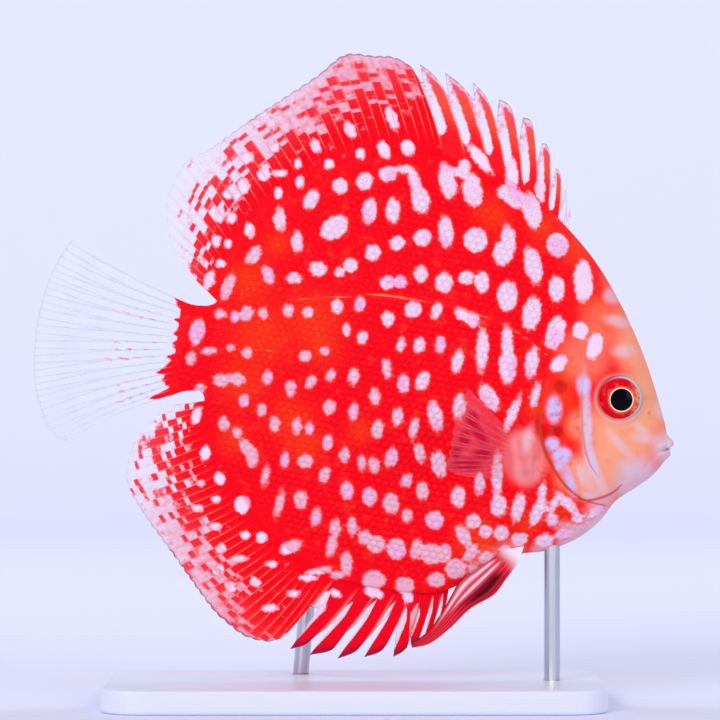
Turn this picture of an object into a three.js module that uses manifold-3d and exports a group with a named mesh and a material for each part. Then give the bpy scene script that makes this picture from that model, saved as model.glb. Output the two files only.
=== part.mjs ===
// A life-size discus fish as a still display model on a flat base with two rods.
// Millimetres, +Z up. The fish faces +X with its nose a little down, its midline is the plane Y = 0,
// and the base's underside is at Z = 0 under the middle of the fish.
import * as THREE from 'three';
import { mergeVertices } from 'three/addons/utils/BufferGeometryUtils.js';
import Module from 'manifold-3d';

const wasm = await Module();
wasm.setup();

// Driving sizes
const GAP = 0.3;
const EDGE_FINNED = 1.3;
const EDGE_BARE = 0.7;
const MEMBRANE = 0.28;
const MARGIN = 0.2;
const RAY_ROOT = 0.62;
const RAY_TIP = 0.34;
const ROOT_SHEATH = 1.15;
const STATIONS = 38;
const SIDE_STEPS = 10;

const EYE = { x: 65.6, z: 76.5, radius: 5.7, depth: 3.6, sunk: 1.5 };
const ORBIT = { radius: 6.35, tube: 0.62 };
const NOSTRIL = { x: 73.4, z: 72.6, pit: 0.5, rim: 0.85, tube: 0.28 };
const MOUTH = { x: 75.2, z: 63.9, half: 0.35 };
const LIP = { radius: 1.35, upper: [78.7, 65.5], lower: [78.3, 62.1], cornerX: 73.6, cornerY: 4.1 };
const COVER = { proud: 0.5, deep: 0.8 };

const BASE = { length: 124, width: 66, height: 6, corner: 9, bevel: 0.8 };
const ROD = { radius: 2, sides: 16, sunk: 3.5 };
const ROD_FRONT = { foot: [49.5, 0], head: [49.5, 0, 44] };
const ROD_REAR = { foot: [-14, 21], head: [-8, 3.6, 66] };

// Body stations from the tail stalk to the snout:
// back x, back z, belly x, belly z, half width, and how full the section is from back to belly.
const BODY = [
  [-43.0, 100.5, -46.0, 77.0, 1.7, 0.7],
  [-38.5, 99.6, -42.2, 78.2, 2.6, 0.7],
  [-34.5, 100.4, -37.9, 77.8, 3.4, 0.7],
  [-32.0, 106.0, -37.0, 73.0, 4.2, 0.7],
  [-28.5, 114.0, -35.2, 65.5, 5.1, 0.7],
  [-23.0, 121.5, -30.5, 56.0, 6.2, 0.7],
  [-14.8, 128.8, -24.0, 46.5, 7.5, 0.7],
  [-3.5, 135.2, -15.2, 37.8, 8.9, 0.7],
  [11.5, 138.0, -4.8, 31.8, 10.4, 0.7],
  [24.0, 136.5, 7.8, 28.8, 11.5, 0.68],
  [36.5, 132.2, 21.0, 28.0, 12.3, 0.65],
  [46.5, 125.5, 31.0, 32.6, 12.7, 0.62],
  [54.2, 118.0, 40.5, 37.2, 12.7, 0.6],
  [60.0, 111.0, 48.0, 38.4, 12.5, 0.58],
  [65.0, 103.0, 55.5, 41.3, 12.0, 0.56],
  [69.5, 94.0, 61.4, 45.8, 11.2, 0.54],
  [73.0, 85.5, 65.4, 50.8, 10.0, 0.52],
  [75.6, 77.5, 70.5, 54.2, 8.2, 0.5],
  [77.4, 71.2, 74.6, 57.2, 6.0, 0.48],
  [78.2, 67.4, 77.4, 60.5, 3.8, 0.46],
];
const LAST_DORSAL_BASE = -34.4;
const NAPE = 54.2;
const VENT = 24.5;
const LAST_ANAL_BASE = -37.4;

// The rear edge of the gill opening, from the nape to the throat, and the front edge of the gill cover
const GILL = [
  [54.8, 119.5], [52.8, 101.0], [51.0, 88.5], [47.8, 80.5], [45.8, 73.5],
  [46.0, 67.5], [48.0, 61.5], [52.0, 55.0], [57.2, 50.8], [64.5, 46.5],
];
const COVER_REAR = [
  [51.6, 86.0], [48.8, 80.6], [46.9, 73.6], [47.1, 67.6], [49.1, 61.8], [52.9, 55.8], [57.8, 51.8], [61.5, 50.6],
];
const COVER_FRONT = [[62.4, 52.2], [59.4, 56.4], [57.3, 62.5], [56.2, 70.0], [55.6, 77.0], [54.6, 84.0]];

// Spiny lappets, front to back: base x, then shoulder, crest, tip and notch as x, z
const DORSAL_LAPPETS = [
  [53.9, [54.1, 122.2], [54.1, 123.5], [54.0, 124.3], [53.3, 120.8]],
  [52.9, [53.2, 126.0], [53.1, 127.8], [52.8, 128.5], [51.9, 124.2]],
  [51.4, [51.8, 131.0], [51.3, 133.2], [50.5, 134.0], [49.2, 129.0]],
  [48.9, [49.0, 137.2], [48.2, 139.8], [47.0, 140.2], [45.6, 134.5]],
  [46.0, [45.0, 143.0], [44.0, 146.0], [42.2, 146.7], [41.0, 138.5]],
  [42.5, [40.0, 146.8], [38.5, 150.0], [36.2, 151.2], [35.7, 144.8]],
  [38.5, [34.2, 149.5], [32.5, 152.5], [29.8, 155.5], [30.0, 151.0]],
  [34.0, [28.5, 152.8], [26.0, 155.5], [22.8, 157.8], [23.6, 152.0]],
  [28.5, [22.3, 154.2], [20.0, 157.2], [16.5, 160.0], [17.3, 155.5]],
];
const DORSAL_SPLIT = 24.6;
const ANAL_LAPPETS = [
  [24.2, [22.4, 22.6], [21.9, 20.4], [21.0, 19.0], [22.0, 26.4]],
  [22.2, [19.7, 19.2], [19.0, 17.0], [17.5, 15.7], [19.2, 25.4]],
  [20.0, [16.9, 18.0], [15.8, 15.8], [14.2, 14.7], [14.0, 22.8]],
  [17.2, [13.6, 15.4], [12.3, 13.2], [9.8, 11.8], [10.8, 20.0]],
  [14.4, [8.6, 15.6], [6.4, 13.0], [2.5, 11.7], [9.0, 22.6]],
  [10.8, [3.0, 16.0], [0.2, 13.0], [-4.2, 11.3], [3.4, 22.4]],
  [6.6, [-3.0, 17.0], [-5.6, 13.5], [-11.2, 12.2], [-4.2, 20.8]],
  [2.2, [-9.0, 17.5], [-12.2, 14.8], [-16.0, 13.7], [-9.0, 23.8]],
];
const ANAL_SPLIT = -3.4;

// Soft fins: base x on the body's edge paired with the margin point that its ray reaches
const DORSAL_SOFT = [
  [22.8, [16.2, 156.3]], [21.2, [14.0, 159.6]], [18.6, [9.8, 161.8]], [13.5, [5.0, 162.1]], [6.5, [-2.5, 162.3]],
  [-0.6, [-10.0, 156.6]], [-13.5, [-24.6, 147.0]], [-23.0, [-35.4, 139.3]], [-28.4, [-42.6, 135.0]],
  [-31.6, [-46.8, 125.6]], [-33.4, [-45.4, 113.8]], [-34.3, [-40.8, 106.8]],
];
const ANAL_SOFT = [
  [-4.6, [-13.8, 21.6]], [-5.6, [-16.8, 17.6]], [-7.5, [-21.0, 15.6]], [-10.0, [-27.2, 16.9]], [-13.0, [-32.2, 20.6]],
  [-15.6, [-36.0, 24.4]], [-24.0, [-44.2, 35.8]], [-30.5, [-52.8, 47.8]], [-33.6, [-56.2, 53.8]],
  [-35.3, [-56.9, 58.2]], [-36.6, [-55.2, 65.0]], [-37.1, [-51.5, 70.0]], [-37.3, [-46.5, 74.8]],
];
const CAUDAL_TIPS = [
  [-70.5, 116.3], [-74.8, 109.5], [-77.2, 103.4], [-79.1, 95.8], [-80.0, 88.0], [-79.9, 80.8], [-78.5, 74.4], [-75.6, 68.0], [-72.0, 65.8],
];
const CAUDAL_BOW = 0.04;

// Pectoral fin: base line on the flank, ray tips, and how far the tips stand out from the flank
const PECTORAL_BASE = [[39.8, 67.0], [36.6, 56.6]];
const PECTORAL_TIPS = [[27.6, 79.4], [25.2, 74.2], [23.9, 68.6], [23.2, 63.6], [22.5, 60.4], [24.6, 58.2], [29.5, 57.0]];
const PECTORAL_REACH = [15, 17, 18, 18, 17, 14, 8];
// Pelvic fin: its leading and trailing edges from the belly to the long tip
const PELVIC_LEADING = [[42.4, 39.6], [41.0, 35.8], [37.8, 31.2], [34.8, 27.4], [29.0, 24.0], [24.0, 19.2], [19.0, 15.4], [14.4, 14.2]];
const PELVIC_TRAILING = [[37.0, 38.6], [34.4, 35.6], [31.2, 32.6], [28.0, 29.2], [25.6, 26.0], [23.2, 22.4], [19.6, 17.8], [14.6, 15.0]];
const PELVIC_STAND = 0.4;

// Colours and finishes
const finish = (hex, roughness, metalness = 0) => new THREE.MeshStandardMaterial({ color: hex, roughness, metalness });
const RED_SKIN = finish(0xf5121b, 0.45);
const HEAD_SKIN = finish(0xf09a6e, 0.45);
const FIN = finish(0xf06a72, 0.5);
const CLEAR_FIN = finish(0xdfe0f4, 0.5);
const EYE_RED = finish(0xc00a20, 0.15);
const LIP_SKIN = finish(0xe9b4a8, 0.5);
const BASE_WHITE = finish(0xe6e8f2, 0.4);
const STEEL = finish(0xb9bcc4, 0.3, 1);

const lerp = THREE.MathUtils.lerp;

// A smooth curve through [x, z] pairs
function curveOf(pairs) {
  return new THREE.CatmullRomCurve3(pairs.map(([x, z]) => new THREE.Vector3(x, 0, z)), false, 'centripetal');
}

// The same with each pair taking an equal share of the parameter
function evenCurve(pairs) {
  return new THREE.CatmullRomCurve3(pairs.map(([x, z]) => new THREE.Vector3(x, 0, z)), false, 'catmullrom', 0.5);
}

// Smooth interpolation of one column of a table
function numbersOf(values) {
  const curve = new THREE.CatmullRomCurve3(values.map((v, i) => new THREE.Vector3(i, v, 0)), false, 'catmullrom', 0.5);
  return (t) => curve.getPoint(t).y;
}

const backCurve = evenCurve(BODY.map((r) => [r[0], r[1]]));
const bellyCurve = evenCurve(BODY.map((r) => [r[2], r[3]]));
const widthAt = numbersOf(BODY.map((r) => r[4]));
const fullnessAt = numbersOf(BODY.map((r) => r[5]));

// The edge is thick and flat where a fin grows and thin on the forehead and throat
function edgeAt(u, onBack) {
  const x = (onBack ? backCurve : bellyCurve).getPoint(u).x;
  const end = onBack ? NAPE : VENT;
  return lerp(EDGE_FINNED, EDGE_BARE, THREE.MathUtils.smoothstep(x, end - 3, end + 3));
}

// Half width of the body at u along it and v from back to belly
function halfWidth(u, v) {
  const edge = Math.min(lerp(edgeAt(u, true), edgeAt(u, false), v), widthAt(u));
  return edge + (widthAt(u) - edge) * Math.pow(4 * v * (1 - v), fullnessAt(u));
}

// u and v of the body line through a point in side view, or null outside the body
function placeOf(x, z) {
  let low = 0;
  let high = 1;
  const side = (u) => {
    const a = backCurve.getPoint(u);
    const b = bellyCurve.getPoint(u);
    return (b.x - a.x) * (z - a.z) - (b.z - a.z) * (x - a.x);
  };
  for (let i = 0; i < 40; i++) {
    const middle = (low + high) / 2;
    if (side(middle) > 0) low = middle;
    else high = middle;
  }
  const a = backCurve.getPoint(low);
  const b = bellyCurve.getPoint(low);
  const v = ((x - a.x) * (b.x - a.x) + (z - a.z) * (b.z - a.z)) / a.distanceToSquared(b);
  return v > 0 && v < 1 ? [low, v] : null;
}

function flankAt(x, z) {
  const place = placeOf(x, z);
  return place ? halfWidth(...place) : 0;
}

// Vertices and faces as a geometry
function geometryOf(points, faces) {
  const geometry = new THREE.BufferGeometry();
  geometry.setAttribute('position', new THREE.Float32BufferAttribute(points.flat(), 3));
  geometry.setIndex(faces.flat());
  return geometry;
}

// A closed outline with every point moved out by an amount
function widened(pairs, amount) {
  const area = pairs.reduce((sum, [x, z], i) => {
    const [nx, nz] = pairs[(i + 1) % pairs.length];
    return sum + x * nz - nx * z;
  }, 0);
  return pairs.map(([x, z], i) => {
    const before = pairs[(i + pairs.length - 1) % pairs.length];
    const after = pairs[(i + 1) % pairs.length];
    const along = new THREE.Vector2(after[0] - before[0], after[1] - before[1]).normalize();
    const out = Math.sign(area) * amount;
    return [x + along.y * out, z - along.x * out];
  });
}

// The whole body as one closed form, its sides moved out by grow
function bodyForm(grow) {
  const points = [];
  const faces = [];
  const ring = 2 * (SIDE_STEPS + 1);
  for (let i = 0; i <= STATIONS; i++) {
    const u = i / STATIONS;
    const back = backCurve.getPoint(u);
    const belly = bellyCurve.getPoint(u);
    for (let k = 0; k < ring; k++) {
      const step = k <= SIDE_STEPS ? k : ring - 1 - k;
      const v = (1 - Math.cos((Math.PI * step) / SIDE_STEPS)) / 2;
      const y = Math.max(halfWidth(u, v) + grow, 0.2) * (k <= SIDE_STEPS ? 1 : -1);
      points.push([lerp(back.x, belly.x, v), y, lerp(back.z, belly.z, v)]);
    }
  }
  for (let i = 0; i < STATIONS; i++) {
    for (let k = 0; k < ring; k++) {
      const a = i * ring + k;
      const b = i * ring + ((k + 1) % ring);
      faces.push([a, b, a + ring], [b, b + ring, a + ring]);
    }
  }
  const last = STATIONS * ring;
  for (let k = 0; k < SIDE_STEPS; k++) {
    const mirror = ring - 1 - k;
    faces.push([k, mirror, k + 1], [k + 1, mirror, mirror - 1]);
    faces.push([last + k, last + k + 1, last + mirror], [last + k + 1, last + mirror - 1, last + mirror]);
  }
  return geometryOf(points, faces);
}

// A geometry as a solid, turned right side out if its faces point in
function solidOf(geometry) {
  const plain = geometry.clone();
  plain.deleteAttribute('normal');
  plain.deleteAttribute('uv');
  const merged = mergeVertices(plain, 1e-4);
  const triVerts = new Uint32Array(merged.index.array);
  const build = () => new wasm.Manifold(new wasm.Mesh({ numProp: 3, vertProperties: merged.attributes.position.array, triVerts }));
  const solid = build();
  if (solid.volume() > 0) return solid;
  for (let i = 0; i < triVerts.length; i += 3) [triVerts[i + 1], triVerts[i + 2]] = [triVerts[i + 2], triVerts[i + 1]];
  return build();
}

// The largest closed piece of a solid, as a geometry
function geometryFrom(solid) {
  const largest = solid.decompose().sort((a, b) => b.volume() - a.volume())[0];
  const mesh = largest.getMesh();
  const geometry = new THREE.BufferGeometry();
  geometry.setAttribute('position', new THREE.Float32BufferAttribute(mesh.vertProperties, 3));
  geometry.setIndex(new THREE.BufferAttribute(mesh.triVerts, 1));
  return geometry;
}

// A side-view outline extruded across the body from y = from to y = to
function prism(pairs, from, to) {
  const shape = new THREE.Shape(pairs.map(([x, z]) => new THREE.Vector2(x, z)));
  const geometry = new THREE.ExtrudeGeometry(shape, { depth: to - from, bevelEnabled: false });
  geometry.rotateX(Math.PI / 2);
  geometry.translate(0, to, 0);
  return solidOf(geometry);
}

// A straight round bar between two points
function bar(from, to, radius, sides) {
  const a = new THREE.Vector3(...from);
  const b = new THREE.Vector3(...to);
  const geometry = new THREE.CylinderGeometry(radius, radius, a.distanceTo(b), sides);
  geometry.rotateX(Math.PI / 2);
  geometry.lookAt(b.clone().sub(a));
  geometry.translate(...a.add(b).multiplyScalar(0.5).toArray());
  return geometry;
}

// A closed thin sheet from a grid of middle points and half thicknesses, alike on both faces
function sheet(columns, rows, middle, half) {
  const points = [];
  const faces = [];
  for (const side of [-1, 1]) {
    for (let c = 0; c < columns; c++) {
      for (let r = 0; r < rows; r++) {
        const [x, y, z] = middle(c, r);
        points.push([x, y + side * half(c, r), z]);
      }
    }
  }
  const count = columns * rows;
  const at = (c, r) => c * rows + r;
  for (let c = 0; c + 1 < columns; c++) {
    for (let r = 0; r + 1 < rows; r++) {
      const [p, q, s, t] = [at(c, r), at(c + 1, r), at(c + 1, r + 1), at(c, r + 1)];
      faces.push([p, q, s], [p, s, t], [p + count, s + count, q + count], [p + count, t + count, s + count]);
    }
  }
  const rim = [];
  for (let c = 0; c < columns; c++) rim.push(at(c, 0));
  for (let r = 1; r < rows; r++) rim.push(at(columns - 1, r));
  for (let c = columns - 2; c >= 0; c--) rim.push(at(c, rows - 1));
  for (let r = rows - 2; r > 0; r--) rim.push(at(0, r));
  rim.forEach((a, i) => {
    const b = rim[(i + 1) % rim.length];
    faces.push([a, a + count, b], [b, a + count, b + count]);
  });
  return geometryFrom(solidOf(geometryOf(points, faces)));
}

// Half thickness along a fin column: a sheath at the root, then a ray's ridge or the thin membrane
function finHalf(isRay, t) {
  const sheath = Math.pow(Math.max(0, 1 - t / 0.22), 2) * (ROOT_SHEATH - MEMBRANE);
  const body = isRay ? lerp(RAY_ROOT, RAY_TIP, t) : MEMBRANE;
  return t > 0.999 ? MARGIN : Math.max(body, MEMBRANE + sheath);
}

// The body's edge at x, moved out by the gap that neighbours keep
function edgePoint(x, onBack) {
  const curve = onBack ? backCurve : bellyCurve;
  let low = 0;
  let high = 1;
  for (let i = 0; i < 40; i++) {
    const middle = (low + high) / 2;
    if (curve.getPoint(middle).x < x) low = middle;
    else high = middle;
  }
  const tangent = curve.getTangent(low);
  const sign = onBack ? 1 : -1;
  const point = curve.getPoint(low);
  return [point.x - sign * tangent.z * GAP, point.z + sign * tangent.x * GAP];
}

// A fin in the midline from columns of [base x, end point, is it a ray]
function medianFin(columns, rows, onBack, bow) {
  const ends = columns.map(([x, end]) => [edgePoint(x, onBack), end]);
  const middle = (c, r) => {
    const t = r / (rows - 1);
    const [a, b] = ends[c];
    const swell = bow * Math.sin(Math.PI * t) * (onBack ? 1 : -1);
    const [dx, dz] = [b[0] - a[0], b[1] - a[1]];
    return [lerp(a[0], b[0], t) + dz * swell, 0, lerp(a[1], b[1], t) - dx * swell];
  };
  return sheet(columns.length, rows, middle, (c, r) => finHalf(columns[c][2], r / (rows - 1)));
}

// Columns of the spiny part: each lappet has its spine, crest, tip and notch
function lappetColumns(lappets, split) {
  const columns = [];
  lappets.forEach(([base, shoulder, crest, tip, notch], i) => {
    const next = i + 1 < lappets.length ? lappets[i + 1][0] : split;
    columns.push([base, shoulder, true]);
    columns.push([lerp(base, next, 0.24), crest, false]);
    columns.push([lerp(base, next, 0.5), tip, false]);
    columns.push([lerp(base, next, 0.8), notch, false]);
  });
  return columns;
}

// Columns of a soft part: rays evenly spread with membrane between them
function softColumns(pairs, rays) {
  const bases = numbersOf(pairs.map(([x]) => x));
  const tips = evenCurve(pairs.map(([, tip]) => tip));
  const count = 2 * rays - 1;
  return Array.from({ length: count }, (_, i) => {
    const t = i / (count - 1);
    const tip = tips.getPoint(t);
    return [bases(t), [tip.x, tip.z], i % 2 === 0];
  });
}

function caudalFin(rays, rows) {
  const tips = evenCurve(CAUDAL_TIPS);
  const [top, low] = [backCurve.getPoint(0), bellyCurve.getPoint(0)];
  const count = 2 * rays - 1;
  const middle = (c, r) => {
    const f = c / (count - 1);
    const t = r / (rows - 1);
    const tip = tips.getPoint(f);
    const bow = CAUDAL_BOW * Math.sin(Math.PI * t) * (1 - 2 * f);
    const [x, z] = [lerp(top.x, low.x, f) - GAP, lerp(top.z, low.z, f)];
    return [lerp(x, tip.x, t), 0, lerp(z, tip.z, t) - bow * (x - tip.x)];
  };
  return sheet(count, rows, middle, (c, r) => finHalf(c % 2 === 0, r / (rows - 1)));
}

// A paired fin that starts flat on the flank and then stands away from it; side is 1 for left, -1 for right
// and placeAt gives x and z at f across the rays and t along them
function pairedFin(side, rays, rows, placeAt, outward) {
  const count = 2 * rays - 1;
  const half = (c, r) => Math.min(finHalf(c % 2 === 0, r / (rows - 1)), 0.7);
  const middle = (c, r) => {
    const f = c / (count - 1);
    const t = r / (rows - 1);
    const [x, z] = placeAt(f, t);
    const root = flankAt(...placeAt(f, 0)) + GAP + half(c, 0);
    const clear = flankAt(x, z) + GAP + half(c, r);
    return [x, side * Math.max(clear, root + outward(f) * t), z];
  };
  return sheet(count, rows, middle, half);
}

function pectoralFin(side) {
  const tips = evenCurve(PECTORAL_TIPS);
  const [high, low] = PECTORAL_BASE;
  const placeAt = (f, t) => {
    const tip = tips.getPoint(f);
    return [lerp(lerp(high[0], low[0], f), tip.x, t), lerp(lerp(high[1], low[1], f), tip.z, t)];
  };
  return pairedFin(side, 10, 6, placeAt, numbersOf(PECTORAL_REACH));
}

function pelvicFin(side) {
  const [leading, trailing] = [curveOf(PELVIC_LEADING), curveOf(PELVIC_TRAILING)];
  const placeAt = (f, t) => {
    const place = leading.getPoint(t).lerp(trailing.getPoint(t), f);
    return [place.x, place.z];
  };
  return pairedFin(side, 6, 10, placeAt, () => PELVIC_STAND);
}

// Lips: a round bar bent round the front of the mouth
function lip([frontX, z], radius) {
  const rise = z > MOUTH.z ? -0.15 : 0.15;
  const path = new THREE.CatmullRomCurve3([
    new THREE.Vector3(LIP.cornerX, -LIP.cornerY, z + rise),
    new THREE.Vector3(frontX - 1.6, -LIP.cornerY * 0.72, z + rise * 0.4),
    new THREE.Vector3(frontX, 0, z),
    new THREE.Vector3(frontX - 1.6, LIP.cornerY * 0.72, z + rise * 0.4),
    new THREE.Vector3(LIP.cornerX, LIP.cornerY, z + rise),
  ]);
  const section = new THREE.Shape(new THREE.Path().absarc(0, 0, radius, 0, 2 * Math.PI).getPoints(4).slice(0, -1));
  return solidOf(new THREE.ExtrudeGeometry(section, { steps: 14, bevelEnabled: false, extrudePath: path }));
}

function eyeball(side, grow) {
  const geometry = new THREE.SphereGeometry(1, 16, 9);
  geometry.scale(EYE.radius + grow, EYE.depth + grow, EYE.radius + grow);
  geometry.translate(EYE.x, side * (flankAt(EYE.x, EYE.z) - EYE.sunk), EYE.z);
  return solidOf(geometry);
}

// A ring of skin that follows the head's side, such as the rim of the eye or of a nostril
function skinRing(side, { x, z }, radius, tube, around) {
  const geometry = new THREE.TorusGeometry(radius, tube, 5, around);
  geometry.rotateX(Math.PI / 2);
  const position = geometry.attributes.position;
  for (let i = 0; i < position.count; i++) {
    const skin = Math.max(flankAt(x + position.getX(i), z + position.getZ(i)), 1);
    position.setY(i, side * skin + position.getY(i));
    position.setX(i, x + position.getX(i));
    position.setZ(i, z + position.getZ(i));
  }
  return solidOf(geometry);
}

function rod({ foot, head }, grow) {
  return solidOf(bar([foot[0], foot[1], ROD.sunk - 1.5 - grow], head, ROD.radius + grow, ROD.sides));
}

// Flesh: one form, cut into stalk, trunk, head and gill covers
const FAR = 200;
const form = solidOf(bodyForm(0));
const gillCurve = curveOf(GILL).getPoints(28).map((p) => [p.x, p.z]);
const shifted = (pairs, dx) => pairs.map(([x, z]) => [x + dx, z]);
const ahead = prism([...shifted(gillCurve, GAP / 2), [100, 40], [100, 125]], -FAR, FAR);
const behind = prism([...shifted(gillCurve, -GAP / 2), [64.5, 0], [-100, 0], [-100, 160], [54.8, 160]], -FAR, FAR);
const stalkCut = LAST_DORSAL_BASE - 0.6;
const stalkSide = prism([[-60, 60], [stalkCut - GAP, 60], [stalkCut - GAP, 120], [-60, 120]], -FAR, FAR);
const trunkSide = prism([[stalkCut, 0], [100, 0], [100, 160], [stalkCut, 160]], -FAR, FAR);

const rodFront = rod(ROD_FRONT, 0);
const rodRear = rod(ROD_REAR, 0);
const rodHoles = rod(ROD_FRONT, GAP).add(rod(ROD_REAR, GAP));

const coverOutline = [...curveOf(COVER_REAR).getPoints(12), ...curveOf(COVER_FRONT).getPoints(8)].map((p) => [p.x, p.z]);
const coverRoom = widened(coverOutline, 1.3 * GAP);
const coverShell = solidOf(bodyForm(COVER.proud)).subtract(solidOf(bodyForm(-COVER.deep)));
const coverBed = solidOf(bodyForm(COVER.proud + 1)).subtract(solidOf(bodyForm(-COVER.deep - GAP)));

const upperLip = lip(LIP.upper, LIP.radius);
const lowerLip = lip(LIP.lower, LIP.radius);
let head = form.intersect(ahead);
for (const side of [-1, 1]) {
  const sideRange = side > 0 ? [0, FAR] : [-FAR, 0];
  head = head.subtract(coverBed.intersect(prism(coverRoom, ...sideRange)));
  head = head.add(skinRing(side, EYE, ORBIT.radius, ORBIT.tube, 18));
  head = head.subtract(eyeball(side, GAP));
  head = head.add(skinRing(side, NOSTRIL, NOSTRIL.rim, NOSTRIL.tube, 10));
  const nostrilSkin = flankAt(NOSTRIL.x, NOSTRIL.z);
  const pit = bar([NOSTRIL.x, side * (nostrilSkin - 1), NOSTRIL.z], [NOSTRIL.x, side * (nostrilSkin + 2), NOSTRIL.z], NOSTRIL.pit, 8);
  head = head.subtract(solidOf(pit));
}
const mouthSlit = prism([[MOUTH.x, MOUTH.z], [82, MOUTH.z + MOUTH.half * 2], [82, MOUTH.z - MOUTH.half * 2]], -8, 8);
head = head.subtract(mouthSlit).subtract(lip(LIP.upper, LIP.radius + GAP)).subtract(lip(LIP.lower, LIP.radius + GAP));
const trunk = form.intersect(behind).intersect(trunkSide).subtract(rodHoles);
const stalk = form.intersect(stalkSide);

// Base plate with round corners and a bevelled top edge
function basePlate() {
  const [l, w, r] = [BASE.length / 2 - BASE.bevel, BASE.width / 2 - BASE.bevel, BASE.corner];
  const shape = new THREE.Shape();
  shape.moveTo(l, -w + r);
  shape.absarc(l - r, w - r, r, 0, Math.PI / 2);
  shape.absarc(-l + r, w - r, r, Math.PI / 2, Math.PI);
  shape.absarc(-l + r, -w + r, r, Math.PI, 1.5 * Math.PI);
  shape.absarc(l - r, -w + r, r, 1.5 * Math.PI, 2 * Math.PI);
  const geometry = new THREE.ExtrudeGeometry(shape, {
    depth: BASE.height - 2 * BASE.bevel, bevelThickness: BASE.bevel, bevelSize: BASE.bevel, bevelSegments: 2, curveSegments: 5,
  });
  geometry.translate(0, 0, BASE.bevel);
  return solidOf(geometry).subtract(rodHoles);
}

const fish = new THREE.Group();
function addNode(name, geometry, material) {
  const mesh = new THREE.Mesh(geometry, material);
  mesh.name = name;
  fish.add(mesh);
}

addNode('head', geometryFrom(head), HEAD_SKIN);
addNode('trunk', geometryFrom(trunk), RED_SKIN);
addNode('tail_stalk', geometryFrom(stalk), RED_SKIN);
addNode('lip_upper', geometryFrom(upperLip), LIP_SKIN);
addNode('lip_lower', geometryFrom(lowerLip), LIP_SKIN);
for (const [side, word] of [[-1, 'right'], [1, 'left']]) {
  const sideRange = side > 0 ? [0, FAR] : [-FAR, 0];
  addNode(`gill_cover_${word}`, geometryFrom(coverShell.intersect(prism(coverOutline, ...sideRange))), HEAD_SKIN);
  addNode(`eye_${word}`, geometryFrom(eyeball(side, 0)), EYE_RED);
  addNode(`pectoral_fin_${word}`, pectoralFin(side), FIN);
  addNode(`pelvic_fin_${word}`, pelvicFin(side), FIN);
}
addNode('dorsal_fin_spiny', medianFin(lappetColumns(DORSAL_LAPPETS, DORSAL_SPLIT), 6, true, 0.03), FIN);
addNode('dorsal_fin_soft', medianFin(softColumns(DORSAL_SOFT, 27), 5, true, 0.02), FIN);
addNode('anal_fin_spiny', medianFin(lappetColumns(ANAL_LAPPETS, ANAL_SPLIT), 6, false, -0.02), FIN);
addNode('anal_fin_soft', medianFin(softColumns(ANAL_SOFT, 25), 5, false, -0.02), FIN);
addNode('caudal_fin', caudalFin(14, 5), CLEAR_FIN);
addNode('stand_base', geometryFrom(basePlate()), BASE_WHITE);
addNode('stand_rod_front', geometryFrom(rodFront), STEEL);
addNode('stand_rod_rear', geometryFrom(rodRear), STEEL);

export default fish;
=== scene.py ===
"""The looks of the discus fish: one skin over the flesh, small scales, see-through fins and glossy eyes."""
import math

import bmesh
import bpy
import numpy as np
from mathutils import Matrix, Vector


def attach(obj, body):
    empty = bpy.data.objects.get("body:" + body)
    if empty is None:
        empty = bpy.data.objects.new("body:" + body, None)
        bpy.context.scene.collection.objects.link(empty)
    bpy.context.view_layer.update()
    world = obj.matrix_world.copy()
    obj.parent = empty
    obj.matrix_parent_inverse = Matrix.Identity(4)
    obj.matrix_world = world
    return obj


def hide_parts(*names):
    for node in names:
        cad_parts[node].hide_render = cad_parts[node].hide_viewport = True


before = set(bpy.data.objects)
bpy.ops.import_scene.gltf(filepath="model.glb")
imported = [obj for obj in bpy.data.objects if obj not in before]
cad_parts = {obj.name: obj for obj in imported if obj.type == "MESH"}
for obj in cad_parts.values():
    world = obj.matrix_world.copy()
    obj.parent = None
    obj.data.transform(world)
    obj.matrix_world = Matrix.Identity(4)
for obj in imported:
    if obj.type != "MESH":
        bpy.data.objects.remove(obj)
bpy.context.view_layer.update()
rng = np.random.default_rng(7)

MM = 0.001

# Body stations from the tail stalk to the snout, in mm:
# back x, back z, belly x, belly z, half width, and how full the section is from back to belly
BODY = np.array([
    [-43.0, 100.5, -46.0, 77.0, 1.7, 0.7],
    [-38.5, 99.6, -42.2, 78.2, 2.6, 0.7],
    [-34.5, 100.4, -37.9, 77.8, 3.4, 0.7],
    [-32.0, 106.0, -37.0, 73.0, 4.2, 0.7],
    [-28.5, 114.0, -35.2, 65.5, 5.1, 0.7],
    [-23.0, 121.5, -30.5, 56.0, 6.2, 0.7],
    [-14.8, 128.8, -24.0, 46.5, 7.5, 0.7],
    [-3.5, 135.2, -15.2, 37.8, 8.9, 0.7],
    [11.5, 138.0, -4.8, 31.8, 10.4, 0.7],
    [24.0, 136.5, 7.8, 28.8, 11.5, 0.68],
    [36.5, 132.2, 21.0, 28.0, 12.3, 0.65],
    [46.5, 125.5, 31.0, 32.6, 12.7, 0.62],
    [54.2, 118.0, 40.5, 37.2, 12.7, 0.6],
    [60.0, 111.0, 48.0, 38.4, 12.5, 0.58],
    [65.0, 103.0, 55.5, 41.3, 12.0, 0.56],
    [69.5, 94.0, 61.4, 45.8, 11.2, 0.54],
    [73.0, 85.5, 65.4, 50.8, 10.0, 0.52],
    [75.6, 77.5, 70.5, 54.2, 8.2, 0.5],
    [77.4, 71.2, 74.6, 57.2, 6.0, 0.48],
    [78.2, 67.4, 77.4, 60.5, 3.8, 0.46],
])
EDGE_FINNED = 1.3
EDGE_BARE = 0.7
# Takes the bluntness off the sections near the back and belly, so that the fins flow out of the flank
LEANER = 0.17
NAPE = 54.2
VENT = 24.5
# Points of the skin along the fish and from back to belly, and the rings that close it towards the mouth
SKIN_ALONG = 290
SKIN_SIDE = 156
MOUTH_RINGS = 18

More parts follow.
